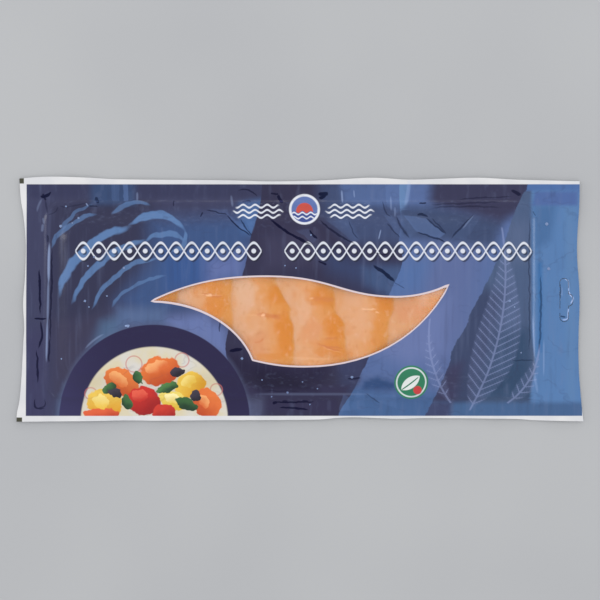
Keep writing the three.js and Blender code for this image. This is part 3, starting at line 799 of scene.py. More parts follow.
def sheet(top, bottom, closed, hole=True):
    """Vertices and faces between two sheets of rows of points.

    Closed rows join end to end, and the last of them is the edge of a hole or has no width.
    """
    count = top.shape[1]
    upper = np.arange(len(top) * count).reshape(-1, count)
    lower = upper.size + np.arange(len(bottom) * count).reshape(-1, count)
    if closed:
        upper = np.hstack([upper, upper[:, :1]])
        lower = np.hstack([lower, lower[:, :1]])
    faces = [
        cells(upper),
        cells(lower)[:, ::-1],
        cells(np.stack([lower[0], upper[0]])),
    ]
    if hole:
        faces.append(cells(np.stack([upper[-1], lower[-1]])))
    if not closed:
        faces.append(cells(np.column_stack([lower[:, 0], upper[:, 0]])))
        faces.append(cells(np.column_stack([upper[:, -1], lower[:, -1]])))
    return np.vstack([top.reshape(-1, 3), bottom.reshape(-1, 3)]), np.vstack(faces)


def with_z(points, z):
    return np.dstack([points, z])


def add_object(name, data):
    made = bpy.data.objects.new(name, data)
    bpy.context.scene.collection.objects.link(made)
    return made


def mesh_object(name, vertices, faces):
    """An object with a mesh whose vertices are given in millimetres."""
    mesh = bpy.data.meshes.new(name)
    mesh.from_pydata((vertices * MM).tolist(), [], faces.tolist())
    return add_object(name, mesh)


def new_piece(name, vertices, faces, material, slot):
    """A closed mesh object with its material; the slot that it is given is not used."""
    piece = mesh_object(name, vertices, faces)
    weld(piece)
    piece.data.materials.append(material)
    return piece


def finish(piece, replaced=None, angle=40):
    """Shades a piece smooth up to an angle, hides the solid that it replaces and mounts it."""
    piece.data.shade_smooth()
    piece.data.set_sharp_from_angle(angle=math.radians(angle))
    if replaced:
        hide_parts(replaced)
    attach(piece, "root")


def weld(piece):
    """Merges points that coincide, which also removes faces of no area."""
    modifier = piece.modifiers.new("weld", "WELD")
    modifier.merge_threshold = 1e-6
    apply_modifiers(piece)


def apply_modifiers(piece):
    bpy.context.view_layer.update()
    shown = piece.evaluated_get(bpy.context.evaluated_depsgraph_get())
    mesh = bpy.data.meshes.new_from_object(shown)
    piece.modifiers.clear()
    piece.data = mesh


def joined(parts):
    """Several pairs of vertices and faces as one pair."""
    vertices = np.vstack([points for points, _ in parts])
    firsts = np.cumsum([0, *(len(points) for points, _ in parts)])
    return vertices, np.vstack([quads + first for first, (_, quads) in zip(firsts, parts)])


def slot_cutter():
    """Prisms along the hang slot's outline, apart where bridges hold the flap."""
    outer = slot_ring(SLIT / 2)
    inner = slot_ring(-SLIT / 2)
    from_bridge = np.abs(np.abs(outer[:, 1] - BOARD_CENTRE[1]) - SLOT_LENGTH / 4)
    open_points = from_bridge > BRIDGE / 2
    start = int(np.argmin(open_points))
    order = np.roll(np.arange(len(outer)), -start)
    prisms, run = [], []
    for i in [*order, order[0]]:
        if open_points[i]:
            run.append(i)
            continue
        if len(run) > 1:
            rows = (outer[run], inner[run])
            ends = [np.stack([with_height(row, z) for row in rows]) for z in (CUT_TOP, CUT_BOTTOM)]
            prisms.append(sheet(*ends, False))
        run = []
    return joined(prisms)


def with_height(points, z):
    return np.column_stack([points, np.full(len(points), float(z))])


def cut_slot(piece):
    cutter = mesh_object("slot_cutter", *slot_cutter())
    modifier = piece.modifiers.new("slot", "BOOLEAN")
    modifier.operation = "DIFFERENCE"
    modifier.solver = "MANIFOLD"
    modifier.object = cutter
    apply_modifiers(piece)
    bpy.data.objects.remove(cutter)


# ---- fields of the print, stored on the mesh ----
def field_colours(points, ground, fields):
    colours = np.tile(inked(ground), (len(points), 1))
    for colour, softness, corners in fields:
        distance = outline_distance(points, px(corners))
        share = smoothstep(distance, softness, -softness)[:, None]
        colours = colours * (1 - share) + inked(colour) * share
    return colours


def inked(colour):
    """The linear colour of the ink that looks like an 8-bit colour through the gloss."""
    return np.maximum(linear(colour) - GLOSS_HAZE, LEAST_INK)


def store(mesh, name, values):
    kind = "FLOAT" if values.ndim == 1 else "FLOAT_COLOR"
    attribute = mesh.attributes.new(name, kind, "POINT")
    if values.ndim == 1:
        attribute.data.foreach_set("value", values.astype(np.float32))
        return
    colours = np.column_stack([values, np.ones(len(values))])
    attribute.data.foreach_set("color", colours.astype(np.float32).ravel())


def vertex_places(mesh):
    """Where a mesh's vertices are, in millimetres."""
    places = np.zeros(len(mesh.vertices) * 3, np.float32)
    mesh.vertices.foreach_get("co", places)
    return places.reshape(-1, 3).astype(float) / MM


def store_print(mesh):
    """The ground colours, and the distances to edges that materials draw sharply."""
    points = vertex_places(mesh)[:, :2]
    store(mesh, "ground", field_colours(points, GROUND, LEFT_FIELDS + RIGHT_FIELDS))
    store(mesh, "middle", field_colours(points, MIDDLE, MIDDLE_FIELDS))
    store(mesh, "far", field_colours(points, FAR, FAR_FIELDS))
    store(mesh, "middle_edge", outline_distance(points, spline(px(MIDDLE_EDGE), 6)))
    store(mesh, "far_edge", outline_distance(points, spline(px(FAR_EDGE), 4)))
    window = [bezier_chain(side, 14)[:-1] for side in (WINDOW_TOP, WINDOW_RIGHT, WINDOW_LEFT)]
    store(mesh, "window_edge", outline_distance(points, np.vstack(window)))


# ---- node materials ----
class Field:
    """A number or colour that a material works out at each point of a surface."""

    def __init__(self, tree, socket):
        self.tree = tree
        self.socket = socket

    def math(self, operation, *others):
        return node(self.tree, "Math", dict(enumerate((self, *others))), operation=operation)

    def __add__(self, other):
        return self.math("ADD", other)

    def __sub__(self, other):
        return self.math("SUBTRACT", other)

    def __mul__(self, other):
        return self.math("MULTIPLY", other)

    def abs(self):
        return self.math("ABSOLUTE")

    def ramp(self, low, high, most=1.0):
        """0 at low and most at high, smoothly between, whichever of them is the larger."""
        inputs = {"Value": self, "From Min": low, "From Max": high, "To Max": most}
        # A clamp would add a hidden node, and too many of those overflow the renderer's stack.
        smooth = {"interpolation_type": "SMOOTHSTEP", "clamp": False}
        return node(self.tree, "MapRange", inputs, **smooth)

    def under(self, colour, mask):
        """This colour with another one over it where mask is 1."""
        return mix(self.tree, mask, self, colour)


class Place:
    """Flat coordinates on a surface, as seen from a centre, turned, in units of size."""

    def __init__(self, vector, rows=np.eye(2), start=(0.0, 0.0)):
        self.vector = vector  # (x, y, 1)
        self.rows = np.asarray(rows, float)
        self.start = np.asarray(start, float)

    def local(self, centre, turn=0.0, size=(1.0, 1.0)):
        cosine, sine = math.cos(turn), math.sin(turn)
        turned = np.array([[cosine, sine], [-sine, cosine]]) / np.reshape(size, (2, 1))
        start = turned @ (self.start - np.asarray(centre, float))
        return Place(self.vector, turned @ self.rows, start)

    def split(self):
        """The two coordinates as numbers."""
        tree = self.vector.tree
        both = []
        for row, start in zip(self.rows, self.start):
            inputs = {0: self.vector, 1: (*row, start)}
            both.append(node(tree, "VectorMath", inputs, 1, operation="DOT_PRODUCT"))
        return both

    def beside(self, start, end, inside):
        """Distance from the line through two points, positive on the side of a third one."""
        along = np.subtract(end, start)
        across = np.array([-along[1], along[0]]) / np.linalg.norm(along)
        across *= np.sign(across @ np.subtract(inside, start))
        inputs = {0: self.vector, 1: (*(across @ self.rows), across @ (self.start - start))}
        return node(self.vector.tree, "VectorMath", inputs, 1, operation="DOT_PRODUCT")

    def squared(self):
        """The square of the distance to the centre."""
        return square_sum(*self.split())

    def ellipse(self, centre, size, turn, reach):
        """1 in the middle of a soft ellipse, which is turned by degrees."""
        return self.local(centre, math.radians(turn), size).squared().ramp(reach, 0.0)


def square_sum(u, v):
    return u.math("MULTIPLY_ADD", u, v * v)


def node(tree, kind, inputs=None, output=0, **settings):
    """A new shader node with its settings and inputs; gives one of its outputs."""
    made = tree.nodes.new("ShaderNode" + kind)
    for name, value in settings.items():
        setattr(made, name, value)
    for key, value in (inputs or {}).items():
        if isinstance(value, Field):
            tree.links.new(value.socket, made.inputs[key])
        else:
            made.inputs[key].default_value = value
    return Field(tree, made.outputs[output])


def mix(tree, mask, under, over):
    """A colour between two, which are fields or 8-bit sRGB colours."""
    colours = [c if isinstance(c, Field) else rgba(c) for c in (under, over)]
    inputs = {0: mask, 6: colours[0], 7: colours[1]}
    return node(tree, "Mix", inputs, 2, data_type="RGBA")


def mottled(field, one, other, low=0.3, high=0.7):
    """A colour that goes softly from one tone to the other as a noise goes from low to high."""
    return mix(field.tree, field.ramp(low, high), one, other)


def attribute(tree, name, output="Color"):
    made = node(tree, "Attribute", attribute_name=name)
    return Field(tree, made.socket.node.outputs[output])


def place_on(tree, scale, zero=(0, 0)):
    """Flat coordinates of the part's frame, in the given units to a metre."""
    point = node(tree, "TexCoord", output=3)
    inputs = {0: point, 1: (*scale, 0), 2: (*zero, 1)}
    return Place(node(tree, "VectorMath", inputs, operation="MULTIPLY_ADD"))


def unsteady(place, scale, reach):
    """The same place with its coordinates pushed about by noise, for uneven edges."""
    tree = place.vector.tree
    push = noise(tree, scale, 2.0)
    push = Field(tree, push.socket.node.outputs["Color"])
    inputs = {0: push, 1: (reach, reach, 0), 2: (-reach / 2, -reach / 2, 0)}
    push = node(tree, "VectorMath", inputs, operation="MULTIPLY_ADD")
    return Place(node(tree, "VectorMath", {0: place.vector, 1: push}))


def place_mm(tree):
    return place_on(tree, (1 / MM, 1 / MM))


def place_px(tree):
    """Pixels of the photograph."""
    scale = 1 / (MM * PX_MM)
    return place_on(tree, (scale, -scale), PX_ZERO)


def noise(tree, scale, detail=2.0, squeeze=(1, 1, 1), turn=0.0):
    """Noise around 0.5; scale is per millimetre."""
    point = node(tree, "TexCoord", output=3)
    size = tuple(np.array(squeeze, float) / MM)
    inputs = {"Vector": point, "Scale": size, "Rotation": (0, 0, turn)}
    moved = node(tree, "Mapping", inputs)
    return node(tree, "TexNoise", {"Vector": moved, "Scale": scale, "Detail": detail})


def new_material(name, **values):
    """A material with a Principled node whose plain inputs are set by name."""
    material = bpy.data.materials.new(name)
    material.use_nodes = True
    tree = material.node_tree
    shader = tree.nodes["Principled BSDF"]
    for key, value in values.items():
        shader.inputs[key.replace("_", " ")].default_value = value
    return material, tree, shader


def connect(field, shader, name):
    field.tree.links.new(field.socket, shader.inputs[name])


def add_bump(shader, height, distance, strength):
    inputs = {"Strength": strength, "Distance": distance, "Height": height}
    connect(node(height.tree, "Bump", inputs), shader, "Normal")


def stroke(place, start, end, bow, half_width, strength=1.0, softness=0.65):
    """A brush stroke from start to end, bent sideways by bow and thin at its ends."""
    start, end = np.array(start, float), np.array(end, float)
    along = (end - start) / 2
    half = float(np.linalg.norm(along))
    turn = math.atan2(along[1], along[0])
    u, v = place.local((start + end) / 2, turn, (half, half_width)).split()
    square = u * u
    bend = bow / half_width
    across = square.math("MULTIPLY_ADD", bend, v) - bend
    reach = square.math("MULTIPLY_ADD", square, across * across)
    return reach.ramp(1, 1 - softness, strength)


def strokes(colour, place, folds, tone, softness=0.65):
    for start, end, bow, half_width, strength in folds:
        mask = stroke(place, start, end, bow, half_width, strength, softness)
        colour = colour.under(tone, mask)
    return colour


def disc(place, centre, radius, softness=0.6):
    soft = softness / radius
    return place.local(centre, 0, (radius, radius)).squared().ramp((1 + soft)**2, (1 - soft)**2)


def ring(place, centre, radius, half_width, strength=1.0):
    distance = place.local(centre).squared().math("SQRT") - radius
    return distance.abs().ramp(half_width + 0.4, half_width - 0.3, strength)


def repeats(field, spacing):
    """Where a number lies in its stretch of the given length, from -0.5 to 0.5 of it."""
    return (field * (1 / spacing)).math("FRACT") - 0.5


def paint_plate(colour, place, cloud):
    """An indigo plate with a cream well and simple rounded pieces of food."""
    tree = cloud.tree
    colour = colour.under(PLATE_HALO, disc(place, PLATE, PLATE_RIM + 2, 3.5) * 0.3)
    tone = place.local((200, 330)).squared().ramp(60**2, 175**2)
    rim_colour = mix(tree, tone, PLATE_NEAR, PLATE_FAR)
    colour = colour.under(rim_colour, disc(place, PLATE, PLATE_RIM))
    cream = mottled(cloud, CREAM, CREAM_GREY, 0.35, 0.65)
    colour = colour.under(cream, disc(place, PLATE, PLATE_WELL, 1.0))
    for centre, radius in ONION_RINGS:
        colour = colour.under(ONION, ring(place, centre, radius, 0.6, 0.6))
    uneven = unsteady(place, 0.16, 9)
    for tint, shade, centre, size, turn in FOODS:
        u, v = uneven.local(centre, math.radians(turn), size).split()
        edge = square_sum(u, v)
        light = v.math("MULTIPLY_ADD", 0.8, u * 0.4)
        piece = mix(tree, light.ramp(0.9, -0.7), shade, tint)
        colour = colour.under(piece, edge.ramp(1.1, 0.92))
    return colour


def rope(place, centre, half_length, strength=1.0):
    """Two crossing waves with a bead in each eye."""
    u, v = place.local(centre).split()
    swing = (u * (math.pi / ROPE_EYE)).math("SINE") * ROPE_SWING
    nearest = (v - swing).abs().math("MINIMUM", (v + swing).abs())
    strand = nearest.ramp(ROPE_STRAND + 0.7, ROPE_STRAND - 0.5)
    bead_u = repeats(u, ROPE_EYE) * ROPE_EYE
    bead = square_sum(bead_u, v).ramp((BEAD + 0.6)**2, (BEAD - 0.4)**2)
    within = u.abs().ramp(half_length + 0.6, half_length - 0.6, strength)
    return strand.math("MAXIMUM", bead) * within


def paint_ropes(colour, place):
    """The pale ornament along the pack, with its soft shadow."""
    for centre, half_length in ROPES:
        lower = (centre[0] + 1.4, centre[1] + 1.6)
        colour = colour.under(ROPE_SHADE, rope(place, lower, half_length, 0.7))
    for centre, half_length in ROPES:
        colour = colour.under(ROPE_TONE, rope(place, centre, half_length))
    return colour


def paint_emblem(colour, place):
    """A half sun over water in a pale ring, with short waves on either side."""
    for centre, half_length in SMALL_WAVES:
        u, v = place.local(centre).split()
        swing = (u * SMALL_WAVE_TURN).math("SINE") * SMALL_WAVE_SWING
        rows = ((v - swing) * (1 / SMALL_WAVE_ROWS) + 0.5).math("FRACT") - 0.5
        lines = rows.abs().ramp(0.24, 0.13) * v.abs().ramp(8.2, 7.6)
        taper = (u.abs() + v.abs() * 0.8).ramp(half_length + 4, half_length)
        colour = colour.under(SMALL_WAVE_TONE, lines * taper)
    colour = colour.under(EMBLEM_RIM, disc(place, EMBLEM, EMBLEM_RADIUS))
    inner = disc(place, EMBLEM, EMBLEM_RADIUS - 2.4)
    colour = colour.under(SKY, inner)
    water_line = (EMBLEM[0], EMBLEM[1] + 2)
    colour = colour.under(SUN, disc(place, water_line, 8.5) * inner)
    u, v = place.local(water_line).split()
    crest = v - (u * 0.75).math("SINE") * 1.1
    colour = colour.under(SEA, crest.ramp(0.2, 1.0) * inner)
    for low in (2.2, 6.4):
        line = (crest - low).abs().ramp(1.1, 0.5)
        colour = colour.under(FOAM, line * inner)
    return colour


def paint_badge(colour, place):
    """A green disc with a pale leaf and a red berry."""
    colour = colour.under(BADGE_GREEN, disc(place, BADGE, BADGE_RADIUS))
    colour = colour.under(BADGE_RING, ring(place, BADGE, BADGE_RADIUS - 2.4, 0.7))
    leaf_place = place.local(BADGE, math.radians(-38))
    leaf = disc(leaf_place, (-1, -9), 14.6, 0.4) * disc(leaf_place, (-1, 9), 14.6, 0.4)
    colour = colour.under(LEAF, leaf)
    colour = colour.under(BADGE_GREEN, stroke(leaf_place, (-14, 0), (10, 0), 0.6, 0.8))
    return colour.under(BERRY, disc(place, (BADGE[0] + 6.5, BADGE[1] + 8), 4.2))


def paint_sprigs(colour, place):
    """Line-drawn sprigs of dill: a bent stem with fine side branches."""
    for foot, tip, bow, widest in SPRIGS:
        foot, tip = np.array(foot, float), np.array(tip, float)
        along = (tip - foot) / 2
        half = float(np.linalg.norm(along))
        u, v = place.local((foot + tip) / 2, math.atan2(along[1], along[0])).split()
        share = u * (1 / half)
        square = share * share
        across = (square.math("MULTIPLY_ADD", float(bow), v) - bow).abs()
        stem = across.ramp(1.4, 0.5) * share.abs().ramp(1.0, 0.97)
        rows = repeats(u - across * 0.75, SPRIG_SPACING)
        reach = (square * -widest + widest) * (share * -0.45 + 0.62)
        inside = (reach - across).ramp(-0.5, 3) * share.abs().ramp(1.0, 0.9)
        branch = rows.abs().ramp(0.11, 0.05) * inside
        fine = repeats(across + u * 0.9, LEAF_SPACING)
        leaves = fine.abs().ramp(0.2, 0.08) * inside * rows.abs().ramp(0.42, 0.1)
        mask = stem.math("MAXIMUM", branch).math("MAXIMUM", leaves * 0.45)
        colour = colour.under(SPRIG_TONE, mask * 0.42)
        colour = colour.under(SPRIG_HAZE, inside * 0.1)
    return colour


def print_colour(tree):
    """The whole print, from the ground colours up, with painted shade, painted reflections and painted
    highlights over it, and where the painted shade of its folds is.
    """
    streaks = noise(tree, 1.0, 3.0, (0.22, 0.02, 1))
    cloud = noise(tree, 0.05, 3.0)
    wobble = noise(tree, 0.35, 3.0) - 0.5
    place = place_px(tree)
    uneven = unsteady(place, 0.13, 4)
    middle = (attribute(tree, "middle_edge", "Fac") + wobble).ramp(0.35, -0.35)
    far = (attribute(tree, "far_edge", "Fac") + wobble * 2.5).ramp(0.4, -0.4)
    colour = attribute(tree, "ground").under(attribute(tree, "middle"), middle)
    colour = colour.under(attribute(tree, "far"), far)
    colour = strokes(colour, unsteady(place, 0.07, 9), WAVES, WAVE_TONE)
    colour = paint_sprigs(colour, place)
    colour = colour.under(PALE_STREAK, streaks.ramp(0.5, 0.85, 0.2))
    colour = colour.under(DARK_STREAK, streaks.ramp(0.5, 0.2, 0.2))
    colour = paint_plate(colour, place, cloud)
    colour = paint_emblem(colour, place)
    colour = paint_badge(colour, place)
    colour = paint_ropes(colour, place)
    # Painted shade along faint wrinkles of the film.
    shaded_wrinkles = (noise(tree, 0.045, 2.0, (1, 1.6, 1), 0.6) - 0.5).abs()
    colour = colour.under(WRINKLE_SHADE, shaded_wrinkles.ramp(0.03, 0.0, 0.16) * cloud.ramp(0.45, 0.6))
    colour = paint_facet_reflections(colour, uneven)
    # Painted shade in the creases of the folds.
    folds = fold_shade_mask(uneven)
    colour = colour.under(colour.under(FOLD_SHADE_TONE, FOLD_SHADE_DEPTH), folds)
    colour = colour.under(LINE_TONE, window_line(tree, place))
    border = border_colour(place, cloud)
    colour = colour.under(border, border_mask(place))
    # Painted highlights along the welts.
    return strokes(colour, place, HIGHLIGHT_FOLDS, FOLD_HIGHLIGHT_TONE, 1.1), folds


def fold_shade_mask(place):
    """1 in the depth of the shaded folds, where shade is painted."""
    deepest = stroke(place, *SHADED_FOLDS[0])
    for fold in SHADED_FOLDS[1:]:
        deepest = deepest.math("MAXIMUM", stroke(place, *fold))
    return deepest


def window_line(tree, place):
    """1 on the pale line round the window, which ends in a point at each tip."""
    edge = attribute(tree, "window_edge", "Fac")
    for tip, further in ((LEFT_TIP, 1), (RIGHT_TIP, -1)):
        tip_x = PX_ZERO[0] + tip[0] / PX_MM
        along = place.split()[0]
        edge = edge + along.ramp(tip_x + TIP_TAPER * further, tip_x, WINDOW_LINE / 2)
    return edge.ramp(WINDOW_LINE / 2 + 0.15, WINDOW_LINE / 2 - 0.25)


def polygon(place, corners, softness, strength=1.0):
    """strength inside a convex outline, with one softness for each of its sides."""
    middle = np.mean(corners, axis=0)
    mask = strength
    for start, end, soft in zip(corners, [*corners[1:], corners[0]], softness):
        mask = place.beside(start, end, middle).ramp(-soft / 2, soft / 2) * mask
    return mask


def border_mask(place):
    """1 on the unprinted edge."""
    return polygon(place, PRINT_CORNERS, [0.8] * 4) * -1 + 1


# Painted reflections over the print on the facets.
def paint_facet_reflections(colour, place):
    for strength, fade, corners in FACET_REFLECTIONS:
        softness = [0.8] + [fade] * (len(corners) - 1)
        colour = colour.under(FACET_REFLECTION_TONE, polygon(place, corners, softness, strength))
    return colour


def border_colour(place, cloud):
    colour = mottled(cloud, EDGE_GREY, EDGE_WHITE, 0.35, 0.65)
    u, v = place.split()
    for left, top, right, bottom in EYE_MARKS:
        mark = u.ramp(left - 0.4, left + 0.4) * u.ramp(right + 0.4, right - 0.4)
        mark = mark * v.ramp(top - 0.4, top + 0.4) * v.ramp(bottom + 0.4, bottom - 0.4)
        colour = colour.under(EYE_MARK, mark)
    return colour


def print_material():
    material, tree, shader = new_material("printed_film", Specular_IOR_Level=0.24)
    colour, folds = print_colour(tree)
    connect(colour, shader, "Base Color")
    # As metal, a fold mirrors the room in its own dark painted shade and not in white.
    connect(folds * FOLD_METAL, shader, "Metallic")
    grain = noise(tree, 0.9, 3.0)
    broad = noise(tree, 0.16, 2.0, (1, 0.35, 1))
    connect(grain.math("MULTIPLY_ADD", 0.16, 0.14), shader, "Roughness")
    add_bump(shader, broad + grain * 0.16, 0.0004, 0.5)
    return material


def blister_material():
    """The printed film over a bubble of air, in mottled pale blues, and shiny."""
    material, tree, shader = new_material("blister_film", Roughness=0.12)
    colour = mottled(noise(tree, 0.02), BLISTER_DARK, BLISTER_LIGHT)
    connect(colour, shader, "Base Color")
    return material


def back_material():
    """White sealed film with a pale blue panel and plain grey rules."""
    material, tree, shader = new_material("back_film", IOR=1.45)
    cloud = noise(tree, 0.03, 3.0)
    u, v = place_mm(tree).local(BOARD_CENTRE).split()
    colour = mottled(cloud, BACK_GREY, BACK_WHITE)
    panel = u.abs().ramp(PANEL[0], PANEL[0] - 0.6) * v.abs().ramp(PANEL[1], PANEL[1] - 0.6, 0.8)
    colour = colour.under(PANEL_BLUE, panel)
    rule = repeats(v, RULE_SPACING).abs().ramp(0.05, 0.03, 0.6)
    columns = (u * (1 / COLUMN_SPACING)).math("FRACT").ramp(0.93, 0.92)
    ruled = rule * columns * u.abs().ramp(RULED[0], RULED[0] - 0.4)
    ruled = ruled * v.abs().ramp(RULED[1], RULED[1] - 0.4)
    colour = colour.under(RULE_GREY, ruled)
    connect(colour, shader, "Base Color")
    grain = noise(tree, 0.7, 3.0)
    broad = noise(tree, 0.12, 2.0)
    connect(grain.math("MULTIPLY_ADD", 0.2, 0.22), shader, "Roughness")
    add_bump(shader, broad + grain * 0.15, 0.0006, 0.5)
    return material


def card_material():
    material, tree, shader = new_material("grey_card", Roughness=0.6)
    fibres = noise(tree, 1.6, 5.0, (0.35, 1, 1))
    colour = mottled(fibres, CARD_DARK, CARD_LIGHT)
    connect(colour, shader, "Base Color")
    add_bump(shader, fibres, 0.0001, 0.4)
    return material


def salmon_material():
    """Moist flesh: pale peach, warmer towards the shown edge, with deep orange patches, painted shade
    along creases and painted glints.
    """
    material, tree, shader = new_material(
        "salmon_flesh", IOR=1.4, Subsurface_Weight=0.12, Subsurface_Scale=0.002,
    )
    behind = attribute(tree, "behind_edge", "Fac")
    patches = noise(tree, 0.06, 3.0)
    fine = noise(tree, 0.3, 4.0, (1, 0.6, 1))
    shifted = behind + (patches - 0.5) * 30 + (fine - 0.5) * 8
    colour = mottled(patches, FLESH_PALE, FLESH_PEACH)
    colour = colour.under(FLESH_WARM, shifted.ramp(30, 5) * behind.ramp(-1.5, 2.5))
    uneven = unsteady(place_px(tree), 0.09, 22)
    for tone, centre, size, turn, strength in FLESH_TONES_AND_LIGHT:
        colour = colour.under(tone, uneven.ellipse(centre, size, turn, 1.6) * strength)
    near_edge = behind.ramp(34, 26) * behind.ramp(-0.6, 2.2)
    for centre, size, turn, strength in FLESH_PATCHES:
        patch = uneven.ellipse(centre, size, turn, 1.7)
        colour = colour.under(FLESH_DEEP, patch * near_edge * strength)
    crinkled = unsteady(place_px(tree), 0.3, 4)
    # Painted shade along the creases.
    colour = strokes(colour, crinkled, FLESH_CREASES, CREASE_SHADE)
    colour = colour.under(FIBRE_PALE, fine.ramp(0.56, 0.7, 0.25))
    colour = colour.under(FIBRE_DEEP, fine.ramp(0.44, 0.3, 0.14))
    # Painted glints.
    colour = strokes(colour, crinkled, GLINTS, GLINT_TONE, 1.0)
    connect(colour, shader, "Base Color")
    connect(fine.math("MULTIPLY_ADD", 0.2, 0.2), shader, "Roughness")
    add_bump(shader, fine, 0.0005, 0.4)
    return material


def pane_material():
    """Clear film: it lets the fish show and mirrors the lights by Fresnel."""
    material = bpy.data.materials.new("clear_film")
    material.use_nodes = True
    tree = material.node_tree
    tree.nodes.remove(tree.nodes["Principled BSDF"])
    wrinkle = noise(tree, 0.22, 3.0, (1, 0.5, 1))
    bump = node(tree, "Bump", {"Strength": 0.5, "Distance": 0.0006, "Height": wrinkle})
    clear = node(tree, "BsdfTransparent")
    gloss = node(tree, "BsdfGlossy", {"Roughness": 0.12, "Normal": bump})
    mirror = node(tree, "Fresnel", {"IOR": 1.45, "Normal": bump})
    behind = node(tree, "NewGeometry", output=6)
    mirror = mirror * (behind * -1 + 1)
    mixed = node(tree, "MixShader", {0: mirror, 1: clear, 2: gloss})
    tree.links.new(mixed.socket, tree.nodes["Material Output"].inputs["Surface"])
    return material


# ---- pieces ----
def between(start, end, shares):
    """Rings at shares of the way from one ring to another."""
    return [start + (end - start) * share for share in shares]


def film_rings():
    """Rings of the front film from the sealed edge to the window, with their places only."""
    shares = np.linspace(0, 1, MARGIN_RINGS, endpoint=False)
    rings = between(edge_ring(), board_ring(-RIDGE_FOOT), shares)
    climb = np.linspace(DIP_INSET, PLATEAU_INSET, CLIMB_RINGS + 1)[1:]
    rings += [board_ring(inset) for inset in [*RIDGE_INSETS, *climb]]
    shares = 1 - (1 - np.linspace(0, 1, WINDOW_RINGS + 1)[1:])**RING_CROWDING
    rings += between(board_ring(PLATEAU_INSET), window_ring(), shares)
    return np.array(rings)


def front_film(material):
    rings = film_rings()
    kept = sorted({0, *range(0, len(rings), HIDDEN_EVERY), MARGIN_RINGS, len(rings) - 1})
    hidden = rings[kept]
    x, y = rings[..., 0], rings[..., 1]
    hx, hy = hidden[..., 0], hidden[..., 1]
    top = with_z(rings, film_top(x, y))
    bottom = with_z(hidden, film_z(hx, hy) + margin_lift(hx, hy))
    piece = new_piece("printed_film", *sheet(top, bottom, True), material, "front_film")
    cut_slot(piece)
    store_print(piece.data)
    finish(piece, "front_film")


def back_film(material):
    rings = between(edge_ring(), board_ring(-RIDGE_FOOT), np.linspace(0, 1, BACK_MARGIN_RINGS))
    rings += [board_ring(inset) for inset in BACK_INSETS]
    spine = board_ring(SPINE_INSET) * (SPINE_SCALE, 0) + (0, BOARD_CENTRE[1])
    ends = BOARD_CENTRE[0] + np.array([-SPINE_HALF_LENGTH, SPINE_HALF_LENGTH])
    spine[:, 0] = np.clip(spine[:, 0], *ends)
    rings += between(rings[-1], spine, SPINE_SHARES)
    rings = np.array(rings)
    x, y = rings[..., 0], rings[..., 1]
    lift = margin_lift(x, y)
    piece = new_piece(
        "sealed_back_film",
        *sheet(with_z(rings, lift + FILM), with_z(rings, lift), True, hole=False),
        material,
        "back_film",
    )
    cut_slot(piece)
    finish(piece, "back_film")


def bubbles(material):
    """Small blisters of air under the printed film."""
    slopes = np.radians(BUBBLE_SLOPES)
    blisters = []
    for px_x, px_y, px_radius in BUBBLES:
        centre = px([(px_x, px_y)])[0]
        radius = px_radius * PX_MM
        rows = [arc(centre, radius * math.cos(a), 2 * math.pi, 0, BUBBLE_TURNS) for a in slopes]
        film = film_top(*centre)
        rise = min(BUBBLE_RISE * radius, TALLEST - film)
        dome = [with_height(row, film + rise * math.sin(a)) for row, a in zip(rows, slopes)]
        root = [with_height(row, film - BUBBLE_ROOT) for row in (rows[0], rows[-1])]
        blisters.append(sheet(np.array(dome), np.array(root), True, hole=False))
    finish(new_piece("film_bubbles", *joined(blisters), material, "front_film"))


def window_pane(material):
    columns_right = PANE_COLUMNS - PANE_LEFT_COLUMNS
    counts = (PANE_COLUMNS, columns_right, PANE_LEFT_COLUMNS)
    sides = window_sides(WINDOW_LINE / 2 + PANE_GAP)
    outline = np.vstack([stretch(side, 0, 1, count) for side, count in zip(sides, counts)])
    upper = outline[:PANE_COLUMNS + 1]
    lower = np.vstack([outline[PANE_COLUMNS:], outline[:1]])[::-1]
    shares = np.linspace(0, 1, PANE_ROWS + 1)[:, None, None]
    grid = upper[None] * (1 - shares) + lower[None] * shares
    x, y = grid[..., 0], grid[..., 1]
    piece = new_piece(
        "window_pane",
        *sheet(with_z(grid, film_top(x, y)), with_z(grid, film_z(x, y)), False),
        material,
        "window_film",
    )
    finish(piece, "window_film")


def slice_left(edge):
    return max(edge - SLICE_LENGTH, FISH_LEFT)


def slice_rise(edge, x, y):
    """How much a slice lifts whatever lies on it, gap included."""
    from_end = (x - slice_left(edge) + SLICE_LEAD) / (SLICE_LEAD + SLICE_FEATHER)
    from_side = SLICE_WIDTH / 2 - np.abs(y - BOARD_CENTRE[1]) + SIDE_LEAD
    from_side = from_side / (SIDE_LEAD + SIDE_FEATHER)
    return (SLICE + GAP) * smoothstep(np.minimum(from_end, from_side), 0, 1)


def shown_edge_x(number, across):
    """The ragged right edge of a slice."""
    edge, lean, wave = SLICES[number]
    plain = edge + lean * across + wave * np.sin(2 * math.pi * across + edge)
    if number in SHOWN_EDGES:
        x, y = px(SHOWN_EDGES[number]).T
        here = BOARD_CENTRE[1] + across * SLICE_WIDTH / 2
        seen = np.interp(here, y[::-1], x[::-1])
        plain += (seen - plain) * smoothstep(np.abs(here - y.mean()), np.ptp(y), np.ptp(y) / 2)
    ragged = 1.3 * ripple(across * 61, across * 0 + 7 * number, 7, 20 + number)
    ragged += 0.5 * ripple(across * 61, across * 0 + 7 * number, 2.5, 40 + number)
    return plain + ragged * 0.5


